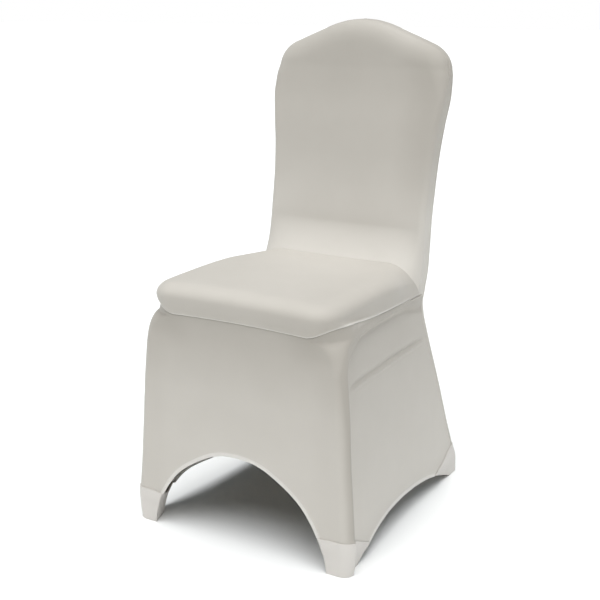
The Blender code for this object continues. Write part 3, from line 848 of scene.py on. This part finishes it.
def remove_tray_corners(mesh, columns, rows):
    """Takes out the corner blocks, where two walls would cross, and welds their edges."""
    edit = bmesh.new()
    edit.from_mesh(mesh)
    column = edit.verts.layers.int["column"]
    row = edit.verts.layers.int["row"]
    corners = []
    for face in edit.faces:
        in_side_wall = any(columns[vertex[column], 1] > 0 for vertex in face.verts)
        in_end_wall = any(rows[vertex[row], 1] > 0 for vertex in face.verts)
        if in_side_wall and in_end_wall:
            corners.append(face)
    bmesh.ops.delete(edit, geom=corners, context="FACES")
    bmesh.ops.remove_doubles(edit, verts=edit.verts, dist=WELD)
    edit.to_mesh(mesh)
    edit.free()


def points_of(mesh):
    points = np.zeros(len(mesh.vertices) * 3)
    mesh.vertices.foreach_get("co", points)
    return points.reshape(-1, 3)


def normals_of(mesh):
    normals = np.zeros(len(mesh.vertices) * 3, dtype=np.float32)
    mesh.vertex_normals.foreach_get("vector", normals)
    return normals.reshape(-1, 3)


def boundary_of(mesh):
    """The points on the sheet's edge, as a mask."""
    edit = bmesh.new()
    edit.from_mesh(mesh)
    mask = np.array([vertex.is_boundary for vertex in edit.verts])
    edit.free()
    return mask


def distance_to(points, chosen):
    """Distance from every point to the nearest of the chosen ones, or 1 m if there are none."""
    if not chosen.any():
        return np.ones(len(points))
    tree = kdtree.KDTree(int(chosen.sum()))
    for i, point in enumerate(points[chosen]):
        tree.insert(point, i)
    tree.balance()
    return np.array([tree.find(point)[2] for point in points])


def unevenness(points, scale):
    """Soft noise between about -1 and 1, at a scale in metres."""
    return np.array([noise.noise(Vector(point) / scale) for point in points])


def finish_edges(mesh, hemmed, lapped):
    """Turns sewn edges inwards as seam allowances, and folds hems under.

    A lapped edge is stitched down flat on the cloth under it, so it is only tipped over.
    """
    tip = LAP_ALLOWANCE if lapped else SEAM_ALLOWANCE
    edit = bmesh.new()
    edit.from_mesh(mesh)
    edit.normal_update()
    turned = {}
    outward = {}
    is_hem = {}
    for vertex, hem in zip(edit.verts, hemmed):
        if vertex.is_boundary:
            inner = [e.other_vert(vertex) for e in vertex.link_edges if not e.is_boundary]
            beside = inner or [e.other_vert(vertex) for e in vertex.link_edges]
            away = sum((vertex.co - other.co for other in beside), Vector())
            normal = vertex.normal.copy()
            away -= away.dot(normal) * normal
            turned[vertex] = normal
            outward[vertex] = away.normalized()
            is_hem[vertex] = hem
    loop = {vertex: vertex for vertex in turned}
    edges = [edge for edge in edit.edges if edge.is_boundary]
    start = {vertex: vertex.co.copy() for vertex in turned}
    for depth, hem_depth, hem_out in (
        (0.16 * tip, 0.45 * HEM_FOLD, 0.0006),
        (0.40 * tip, HEM_FOLD, 0.0),
        (tip, HEM_FOLD, -HEM_WIDTH),
    ):
        made = bmesh.ops.extrude_edge_only(edit, edges=edges)["geom"]
        made_edges = [item for item in made if isinstance(item, bmesh.types.BMEdge)]
        edges = [edge for edge in made_edges if edge.is_boundary]
        new = {item for item in made if isinstance(item, bmesh.types.BMVert)}
        step = {}
        for source, vertex in loop.items():
            (step[source],) = [
                e.other_vert(vertex) for e in vertex.link_edges if e.other_vert(vertex) in new
            ]
        loop = step
        for source, vertex in loop.items():
            down, aside = (hem_depth, hem_out) if is_hem[source] else (depth, 0.0)
            vertex.co = start[source] - turned[source] * down + outward[source] * aside
    edit.to_mesh(mesh)
    edit.free()


def thicken(piece):
    wall = piece.modifiers.new("cloth thickness", "SOLIDIFY")
    wall.thickness = CLOTH
    wall.offset = -1.0
    deselect_all()
    piece.select_set(True)
    bpy.context.view_layer.objects.active = piece
    bpy.ops.object.modifier_apply(modifier=wall.name)
    piece.data.shade_smooth()


def sewn_panel(name, columns, rows, place, look, kinds, flip=False, lapped=False, lip=0.0):
    """A finished sheet.

    kinds(column, row) gives two masks for the edge's points: hemmed and not sewn, and sewn
    so flat that the seam hardly shows. look(points) gives how far the cloth is pulled, with
    painted shade and painted bounce light mixed into that value, and its folds' height in
    metres. lip is how far the other seams' edges stand out.
    """
    piece = cloth_grid(name, columns, rows, place, flip)
    mesh = piece.data
    points = points_of(mesh)
    normals = normals_of(mesh)
    edge = boundary_of(mesh)
    column = np.zeros(len(points), dtype=np.int32)
    row = np.zeros(len(points), dtype=np.int32)
    mesh.attributes["column"].data.foreach_get("value", column)
    mesh.attributes["row"].data.foreach_get("value", row)
    hemmed, flat = (edge & mask for mask in kinds(column, row))
    from_edge = distance_to(points, edge & ~hemmed)
    from_seam = distance_to(points, edge & ~hemmed & ~flat)
    from_hem = distance_to(points, hemmed)
    stretch_and_painted_shade, folds = look(points)
    lift = hem_relief(from_hem)
    layers = 1 - ease(HEM_WIDTH - HEM_SHADE_STEP, HEM_WIDTH + HEM_SHADE_STEP, from_hem)
    if lapped:
        layers = np.ones(len(points))
    else:
        puckers = PUCKER_HEIGHT * unevenness(points, PUCKER_SCALE)
        lift += seam_relief(from_seam) + puckers * bump(from_seam, PUCKER_REACH, PUCKER_REACH)
        if lip:
            on_lip = bump(from_seam, LIP_WIDTH / 2, LIP_WIDTH)
            lift += lip * on_lip
            layers = np.maximum(layers, on_lip)
        soft = sum(height * unevenness(points, scale) for height, scale in SOFT_RELIEF)
        lift += (soft + folds) * ease(0.0, CALM_EDGE, np.minimum(from_edge, from_hem))
    points += normals * lift[:, None]
    mesh.vertices.foreach_set("co", points.ravel())
    # The first attribute carries the knit's stretch together with painted shade and painted
    # bounce light.
    for key, values in (("stretch_and_painted_shade", stretch_and_painted_shade), ("layers", layers)):
        attribute = mesh.attributes.new(key, "FLOAT", "POINT")
        attribute.data.foreach_set("value", np.asarray(values, dtype=np.float32))
    mesh.update()
    finish_edges(mesh, hemmed, lapped)
    for key in ("column", "row"):
        mesh.attributes.remove(mesh.attributes[key])
    thicken(piece)
    return piece


def seam_relief(distance):
    """The seam allowance lifts the cloth beside a seam, and the thread pulls the seam in."""
    ridge = SEAM_RIDGE * bump(distance, SEAM_RIDGE_PLACE, SEAM_RIDGE_WIDTH)
    return ridge - SEAM_DIP * bump(distance, 0.0, SEAM_DIP_WIDTH)


def hem_relief(distance):
    """A folded hem stands proud by a layer of cloth, with its stitches drawn in."""
    band = HEM_RISE * (1 - ease(HEM_WIDTH - HEM_STEP, HEM_WIDTH + HEM_STEP, distance))
    return band - HEM_DIP * bump(distance, HEM_DIP_PLACE, HEM_DIP_WIDTH)


# The panels


def both_ways(half):
    """Grid places from -1 to 1 from those for 0 to 1."""
    return np.concatenate([-half[:0:-1], half])


BACK_COLUMNS = both_ways(1 - graded(HALF_WIDTH, True)[::-1])

# The knit's stretch, from 0 where it is relaxed to 1 where it is pulled open. The same value also
# carries painted shade where it is high and painted bounce light where it is low.


def look_by_height(*rows):
    """How far a panel's cloth is pulled at each height, from rows of height and stretch, with
    painted shade and bounce light mixed into the same value.
    """
    heights, stretches = zip(*rows)

    def look(points):
        return np.interp(points[:, 2], heights, stretches), np.zeros(len(points))

    return look


def beside_leg(look):
    """Adds the groove behind the front leg, where the knit is drawn in, and paints shade into the
    groove and onto the leg's rounded corner.
    """

    def with_groove_shade(points):
        stretch_and_painted_shade, folds = look(points)
        x, y, z = points.T
        on_side = ease(0.15, 0.19, np.abs(x)) * ease(0.055, 0.075, z)
        back = behind_leg(y, z)
        # Painted shade: the groove behind the leg and the leg's rounded corner are darkened in
        # colour.
        groove_shade = 1.4 * bump(back, 0.003, 0.007) + 0.6 * bump(back, -0.010, 0.008)
        drawn_in = 0.0016 * bump(back, 0.0025, 0.004)
        return stretch_and_painted_shade + on_side * groove_shade, folds - on_side * drawn_in

    return with_groove_shade


# Darker towards the pad, partly where the knit is pulled most and partly as painted shade under
# the pad's overhang, and lighter low down as painted bounce light from the floor.
front_stretch_and_shade_by_height = look_by_height((0.10, 0.24), (0.18, 0.24), (0.29, 0.41), (0.40, 0.84))


def front_stretch_and_painted_shade(points):
    """The front is pulled tightest under the pad. Its top is also painted darker there as shade
    under the pad's overhang, most of all by its corners.
    """
    stretch_and_painted_shade, folds = front_stretch_and_shade_by_height(points)
    x, y, z = points.T
    # The extra darkening by the corners, just under the pad, is painted shade.
    return stretch_and_painted_shade + 0.20 * ease(0.09, 0.16, np.abs(x)) * ease(0.36, 0.42, z), folds


front_look = beside_leg(front_stretch_and_painted_shade)
# The sides too are darker towards the pad and lighter low down: partly stretch, and partly
# painted shade under the pad and painted bounce light from the floor.
side_look = beside_leg(look_by_height((0.08, 0.16), (0.22, 0.46), (0.37, 0.76)))
# The backrest is lightest just above the seat and darker towards the crown: partly stretch, and
# partly painted bounce light from the seat and floor and painted shade up high.
back_stretch_and_shade_by_height = look_by_height(
    (0.25, 0.37), (0.45, 0.04), (0.58, 0.07), (0.70, 0.51), (0.86, 0.79)
)


def back_look(points):
    """The backrest is pulled tightest towards the crown, where it is also painted darker as
    shade, and its upper right is painted darker still as shade.
    """
    stretch_and_painted_shade, folds = back_stretch_and_shade_by_height(points)
    x, y, z = points.T
    # The extra darkening on the upper right is painted shade.
    return stretch_and_painted_shade + 0.25 * ease(0.09, 0.17, x) * ease(0.55, 0.65, z), folds


pocket_look = look_by_height((0.0, 0.0), (0.1, 0.0))


def seat_look(points):
    """The pad's boxed edge is pulled a little more than its top and painted darker as shade, its
    right half is painted darker as shade, and its top has a faint dimple.
    """
    x, y, z = points.T
    dimple = -0.0012 * np.exp(-((x + 0.045) ** 2 + (y - 0.020) ** 2) / 0.022**2)
    right_side_shade = 0.12 * ease(0.02, 0.16, x)
    # The darker boxed edge and the darker right half are painted shade.
    return mix(0.70, 0.59, ease(0.455, 0.490, z)) + right_side_shade, dimple * ease(0.480, 0.490, z)


def make_front_skirt():
    flat = graded(FRONT_CORNER_START)
    corner = 1 + np.linspace(0, 1, 21)[1:]
    strip = 2 + graded(SEAM_BEHIND_LEG, fine_end=True)[1:]
    columns = both_ways(np.concatenate([flat, corner, strip]))
    return sewn_panel(
        "skirt_front_cloth",
        with_walls(columns, [0], [0]),
        with_walls(graded(FRONT_HEIGHT, True, True), [0], [0]),
        front_skirt_point,
        front_look,
        kinds=lambda column, row: (
            (row == 0) & (np.abs(columns[column]) < FRONT_ARCH_PART),
            np.abs(columns[column]) == columns[-1],
        ),
    )


def make_side_skirt(side):
    width = float(rear_seam(HEM_LEVEL) - side_seam(HEM_LEVEL))
    columns = graded(width, True, True)
    y_hem = mix(side_seam(HEM_LEVEL), rear_seam(HEM_LEVEL), columns)
    on_arch = (y_hem > SIDE_ARCH_START) & (y_hem < SIDE_ARCH_END)
    return sewn_panel(
        f"skirt_side_{side}_cloth",
        with_walls(columns, [0], [0]),
        with_walls(graded(SIDE_HEIGHT, True, True), [0], [0]),
        side_skirt_point if side == "right" else mirrored(side_skirt_point),
        side_look,
        kinds=lambda column, row: ((row == 0) & on_arch[column], column == 0),
        flip=side == "left",
    )


def make_inside_back():
    wall = np.linspace(0, 1, 8)
    return sewn_panel(
        "inside_back_cloth",
        with_walls(BACK_COLUMNS, wall, wall),
        with_walls(graded(BACKREST_LENGTH, True, True), [0], wall),
        inside_back_point,
        back_look,
        kinds=lambda column, row: (row < 0, row == 0),
    )


def make_outside_back():
    below_seat = graded(REAR_LEG_LENGTH, True) - 1
    rows = np.concatenate([below_seat, graded(BACKREST_LENGTH, False, True)[1:]])
    wall = np.linspace(0, 1, 3)
    columns = with_walls(BACK_COLUMNS, wall, wall)
    on_arch = (np.abs(columns[:, 0]) < BACK_ARCH_PART) & (columns[:, 1] == 0)
    return sewn_panel(
        "outside_back_cloth",
        columns,
        with_walls(rows, [0], wall),
        outside_back_point,
        back_look,
        kinds=lambda column, row: ((row == 0) & on_arch[column], row < 0),
        flip=True,
    )


def make_seat():
    wall = np.linspace(0, 1, 22)
    return sewn_panel(
        "seat_panel_cloth",
        with_walls(BACK_COLUMNS, wall, wall),
        with_walls(graded(PAD_LENGTH, True, True), [0], wall),
        seat_panel_point,
        seat_look,
        kinds=lambda column, row: (row < 0, row == 0),
        flip=True,
        lip=SEAT_LIP,
    )


def make_pocket(end, side):
    pocket = FEET[end]
    wall = np.concatenate([np.linspace(0, POCKET_TURN, 5), np.linspace(POCKET_TURN, 1, 22)[1:]])
    rows = with_walls(np.linspace(0, 1, 27), wall, wall)
    last_row = len(rows) - 1
    return sewn_panel(
        f"foot_pocket_{end}_{side}_cloth",
        with_walls(np.linspace(0, 1, 19), wall, wall),
        rows,
        pocket if side == "right" else mirrored(pocket),
        pocket_look,
        kinds=lambda column, row: ((column == 0) | (row == last_row), row < 0),
        flip=(end == "front") == (side == "right"),
        lapped=True,
    )


# Materials


def linear(hex_colour):
    """An sRGB hex colour as linear values."""
    values = [int(hex_colour[i : i + 2], 16) / 255 for i in (1, 3, 5)]
    return [v / 12.92 if v <= 0.04045 else ((v + 0.055) / 1.055) ** 2.4 for v in values] + [1.0]


def add_node(tree, kind, settings=(), **links):
    """Adds a node, sets its properties and inputs, and links its inputs to other sockets."""
    node = tree.nodes.new("ShaderNode" + kind)
    for key, value in dict(settings).items():
        if key in node.inputs:
            node.inputs[key].default_value = value
        else:
            setattr(node, key, value)
    for key, socket in links.items():
        tree.links.new(socket, node.inputs[key.replace("_", " ")])
    return node


def new_material(name):
    material = bpy.data.materials.new(name)
    material.use_nodes = True
    return material, material.node_tree


def set_shader(tree, constants, **links):
    """Sets the shader's constants and links its other inputs to sockets."""
    shader = tree.nodes["Principled BSDF"]
    for key, value in constants.items():
        shader.inputs[key].default_value = value
    for key, socket in links.items():
        tree.links.new(socket, shader.inputs[key.replace("_", " ")])


# The knit has about 22 wales to a centimetre. They are drawn 2.5 times coarser, 1.1 mm apart,
# because finer lines would only flicker at the distance that the whole cover is seen from.
# A wave texture's scale of 1 gives 20 / (2 pi) waves to a metre. The thread's twist is
# drawn about 0.5 mm long.
WALE_SCALE = 900 * 2 * math.pi / 20
COURSE_SCALE = 700 * 2 * math.pi / 20
TWIST_SCALE = 640.0


def spandex_knit(name, relaxed, pulled, doubled, relief):
    """Polyester and elastane warp knit: matt ivory with a faint satin sheen on its fine wales.

    Where it is pulled taut the knit opens and looks greyer. The same greyer colour is also
    painted in as shade, and the paler relaxed colour as bounce light. Where it lies double, in
    hems and seams, it looks whiter. relief is how deep the knit's ridges are, in metres.
    """
    material, tree = new_material(name)
    coordinates = add_node(tree, "TexCoord")
    place = coordinates.outputs["Object"]
    uv = coordinates.outputs["UV"]
    stretch_and_painted_shade, layers = (
        add_node(tree, "Attribute", {"attribute_name": name}).outputs["Fac"]
        for name in ("stretch_and_painted_shade", "layers")
    )
    clouds = add_node(tree, "TexNoise", {"Scale": 14.0, "Detail": 4.0}, Vector=place)
    # Stretch, with painted shade and painted bounce light, mixed with a little random tone.
    tension_and_painted_shade = add_node(
        tree, "Mix", {"data_type": "FLOAT", "Factor": 0.15}, A=stretch_and_painted_shade, B=clouds.outputs["Fac"]
    )
    single = add_node(
        tree,
        "Mix",
        {"data_type": "RGBA", "A": linear(relaxed), "B": linear(pulled)},
        Factor=tension_and_painted_shade.outputs["Result"],
    )
    cloth = add_node(
        tree,
        "Mix",
        {"data_type": "RGBA", "B": linear(doubled)},
        A=single.outputs["Result"],
        Factor=layers,
    )
    wales, courses = (
        add_node(tree, "TexWave", {"Scale": scale, "bands_direction": direction}, Vector=uv)
        for scale, direction in ((WALE_SCALE, "X"), (COURSE_SCALE, "Y"))
    )
    knit = add_node(
        tree,
        "Mix",
        {"data_type": "FLOAT", "Factor": 0.35},
        A=wales.outputs["Fac"],
        B=courses.outputs["Fac"],
    )
    fuzz = add_node(tree, "TexNoise", {"Scale": 600.0, "Detail": 2.0}, Vector=place)
    height = add_node(
        tree,
        "Mix",
        {"data_type": "FLOAT", "Factor": 0.4},
        A=knit.outputs["Result"],
        B=fuzz.outputs["Fac"],
    )
    shaded = add_node(
        tree,
        "Mix",
        {"data_type": "RGBA", "blend_type": "MULTIPLY", "Factor": 0.06},
        A=cloth.outputs["Result"],
        B=height.outputs["Result"],
    )
    ridges = add_node(
        tree,
        "Bump",
        {"Strength": 0.5, "Distance": relief},
        Height=height.outputs["Result"],
    )
    surface = {
        "Roughness": 0.62,
        "Specular IOR Level": 0.30,
        "Sheen Weight": 0.20,
        "Sheen Roughness": 0.45,
    }
    colour = shaded.outputs["Result"]
    set_shader(tree, surface, Base_Color=colour, Normal=ridges.outputs["Normal"])
    return material


def polyester_thread(name, colour):
    """Spun polyester sewing thread: ivory, glossier than the cloth, with a fine twist."""
    material, tree = new_material(name)
    place = add_node(tree, "TexCoord").outputs["Object"]
    twist = add_node(
        tree, "TexWave", {"Scale": TWIST_SCALE, "bands_direction": "DIAGONAL"}, Vector=place
    )
    shaded = add_node(
        tree,
        "Mix",
        {"data_type": "RGBA", "blend_type": "MULTIPLY", "Factor": 0.15, "A": linear(colour)},
        B=twist.outputs["Fac"],
    )
    plies = add_node(
        tree, "Bump", {"Strength": 0.6, "Distance": 0.0001}, Height=twist.outputs["Fac"]
    )
    colour = shaded.outputs["Result"]
    set_shader(tree, {"Roughness": 0.48}, Base_Color=colour, Normal=plies.outputs["Normal"])
    return material


# Stitches

STITCH = 0.0022
STITCH_PITCH = 0.0030
STITCH_WIDTH = 0.0005
STITCH_HEIGHT = 0.0004
HEM_ROWS = (0.0018, 0.0056)
LAP_ROWS = (0.0012,)
HEM_LIFT = 0.0006
LAP_LIFT = 0.0001


def make_stitches(name, edge, inner, rows, lift):
    """Rows of stitches along an edge. inner has the points a little way in from the edge's."""
    deselect_all()
    bpy.ops.mesh.primitive_uv_sphere_add(segments=6, ring_count=4, radius=0.5)
    piece = bpy.context.object
    piece.name = name
    piece.data.name = name
    bead = points_of(piece.data) * (STITCH_WIDTH, STITCH_HEIGHT, STITCH)
    faces = [tuple(face.vertices) for face in piece.data.polygons]
    steps = np.linalg.norm(np.diff(edge, axis=0), axis=1)
    run = np.insert(np.cumsum(steps), 0, 0.0)
    places = np.arange(STITCH_PITCH / 2, run[-1], STITCH_PITCH)
    on_edge = np.stack([np.interp(places, run, edge[:, i]) for i in range(3)], axis=1)
    on_inner = np.stack([np.interp(places, run, inner[:, i]) for i in range(3)], axis=1)
    along = unit(np.gradient(on_edge, axis=0))
    aside = on_inner - on_edge
    aside = unit(aside - along * np.sum(aside * along, axis=1, keepdims=True))
    up = np.cross(along, aside)
    centre = on_edge.mean(axis=0) * (1, 1, 0)
    up *= np.sign(np.sum(up * centre, axis=1, keepdims=True))
    points = []
    for distance in rows:
        middle = on_edge + aside * distance + up * lift
        for i in range(len(places)):
            points.append(middle[i] + bead @ np.stack([aside[i], up[i], along[i]]))
    starts = range(0, len(points) * len(bead), len(bead))
    all_faces = [tuple(start + v for v in face) for start in starts for face in faces]
    piece.data.clear_geometry()
    piece.data.from_pydata(np.concatenate(points).tolist(), [], all_faces)
    piece.data.shade_smooth()
    return piece


def unit(vectors):
    return vectors / np.linalg.norm(vectors, axis=1, keepdims=True)


def warped(place, u, v):
    """The points of a panel's outer face at u and v."""
    u, v = np.broadcast_arrays(np.asarray(u, dtype=float), np.asarray(v, dtype=float))
    return np.stack(pulled_up(*place(u, v, np.zeros_like(u))), axis=1)


def hem_path(place, first, last, v_edge=0.0, v_inner=0.02):
    """An arch's hem from u = first to u = last, and the points a little above it."""
    u = np.linspace(first, last, 240)
    return warped(place, u, v_edge), warped(place, u, v_inner)


def rim_path(pocket, mirror):
    """The lapped top edge of a foot pocket, and the points a little below it."""
    share = np.linspace(-1, 1, 160)
    side = -1 if mirror else 1
    paths = []
    for part in (1.0, 0.94):
        x, y, z = pocket.outer_wall(share, np.full_like(share, part))
        paths.append(np.stack(pulled_up(side * x, y, z), axis=1))
    return paths


# Dressing the frame


def dress(node, piece, material):
    piece.data.materials.append(material)
    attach(piece, "root")
    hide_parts(node)


def sew(node, kind, *stitching):
    """Rows of stitches on a panel, which go with its cloth."""
    piece = make_stitches(f"{node}_{kind}_stitches", *stitching)
    piece.data.materials.append(thread)
    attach(piece, "root")


# The darker pulled colour is also the colour of the painted shade, and the relaxed colour that of
# the painted bounce light.
panel_knit = spandex_knit("ivory_spandex_knit", "#D4CFC7", "#B0AAA1", "#DDD9D3", 0.0002)
pocket_knit = spandex_knit("double_ivory_spandex_knit", "#D7D2CB", "#CFC9C2", "#D8D3CD", 0.0003)
thread = polyester_thread("ivory_polyester_thread", "#DDD9D3")

dress("seat_panel", make_seat(), panel_knit)
dress("inside_back", make_inside_back(), panel_knit)
dress("outside_back", make_outside_back(), panel_knit)
dress("skirt_front", make_front_skirt(), panel_knit)
for side in ("left", "right"):
    dress(f"skirt_side_{side}", make_side_skirt(side), panel_knit)
    for end in ("front", "back"):
        dress(f"foot_pocket_{end}_{side}", make_pocket(end, side), pocket_knit)

HEMS = {
    "skirt_front": hem_path(front_skirt_point, -FRONT_ARCH_PART, FRONT_ARCH_PART),
    "outside_back": hem_path(outside_back_point, -BACK_ARCH_PART, BACK_ARCH_PART, -1.0, -0.98),
    "skirt_side_right": hem_path(side_skirt_point, *SIDE_ARCH_PARTS),
    "skirt_side_left": hem_path(mirrored(side_skirt_point), *SIDE_ARCH_PARTS),
}
for node, path in HEMS.items():
    sew(node, "hem", *path, HEM_ROWS, HEM_LIFT)
for end, pocket in FEET.items():
    for side in ("left", "right"):
        path = rim_path(pocket, side == "left")
        sew(f"foot_pocket_{end}_{side}", "lap", *path, LAP_ROWS, LAP_LIFT)


# Floor, lights and camera


def add_floor():
    deselect_all()
    bpy.ops.mesh.primitive_plane_add(size=60, location=(0, 0, 0))
    floor = bpy.context.object
    floor.name = "studio_floor"
    material, tree = new_material("white_paper_sweep")
    paper = {"Base Color": linear("#F8F8F7"), "Roughness": 1.0, "Specular IOR Level": 0.0}
    set_shader(tree, paper)
    floor.data.materials.append(material)


def point_at(thing, place, target):
    thing.location = place
    thing.rotation_euler = (Vector(target) - Vector(place)).to_track_quat("-Z", "Y").to_euler()
    bpy.context.scene.collection.objects.link(thing)


def add_broad_light(name, place, strength, spread):
    """A far light as wide as a studio's ceiling or wall of diffusers, given by its angle."""
    light = bpy.data.lights.new(name, "SUN")
    light.energy = strength
    light.angle = math.radians(spread)
    point_at(bpy.data.objects.new(name, light), place, (0, 0, 0))


def add_camera():
    camera = bpy.data.cameras.new("photo_camera")
    camera.lens = 67.07
    camera.sensor_width = 36.0
    body = bpy.data.objects.new("photo_camera", camera)
    point_at(body, (1.1099, -1.8374, 1.0074), (-0.0129, -0.0252, 0.4242))
    bpy.context.scene.camera = body


def set_world():
    """White paper behind the cover, and a weaker light around it that fades to the horizon."""
    world = bpy.data.worlds.new("white_studio")
    world.use_nodes = True
    tree = world.node_tree
    place = add_node(tree, "TexCoord").outputs["Generated"]
    height = add_node(tree, "SeparateXYZ", Vector=place).outputs["Z"]
    glow = add_node(tree, "ValToRGB", Fac=height)
    glow.color_ramp.elements[0].color = (0.024, 0.024, 0.024, 1.0)
    glow.color_ramp.elements[1].color = (0.100, 0.146, 0.172, 1.0)
    around = add_node(tree, "Background", Color=glow.outputs["Color"])
    paper = tree.nodes["Background"]
    paper.inputs["Color"].default_value = (1.0, 1.0, 1.0, 1.0)
    sight = add_node(tree, "LightPath").outputs["Is Camera Ray"]
    seen = add_node(tree, "MixShader", Fac=sight)
    tree.links.new(around.outputs["Background"], seen.inputs[1])
    tree.links.new(paper.outputs["Background"], seen.inputs[2])
    tree.links.new(seen.outputs["Shader"], tree.nodes["World Output"].inputs["Surface"])
    bpy.context.scene.world = world
    bpy.context.scene.view_settings.view_transform = "Standard"


add_floor()
add_broad_light("overhead", (0.06, -0.6, 3.0), 3.9, 70)
add_broad_light("right_fill", (3.0, -1.2, 1.8), 0.31, 50)
add_camera()
set_world()
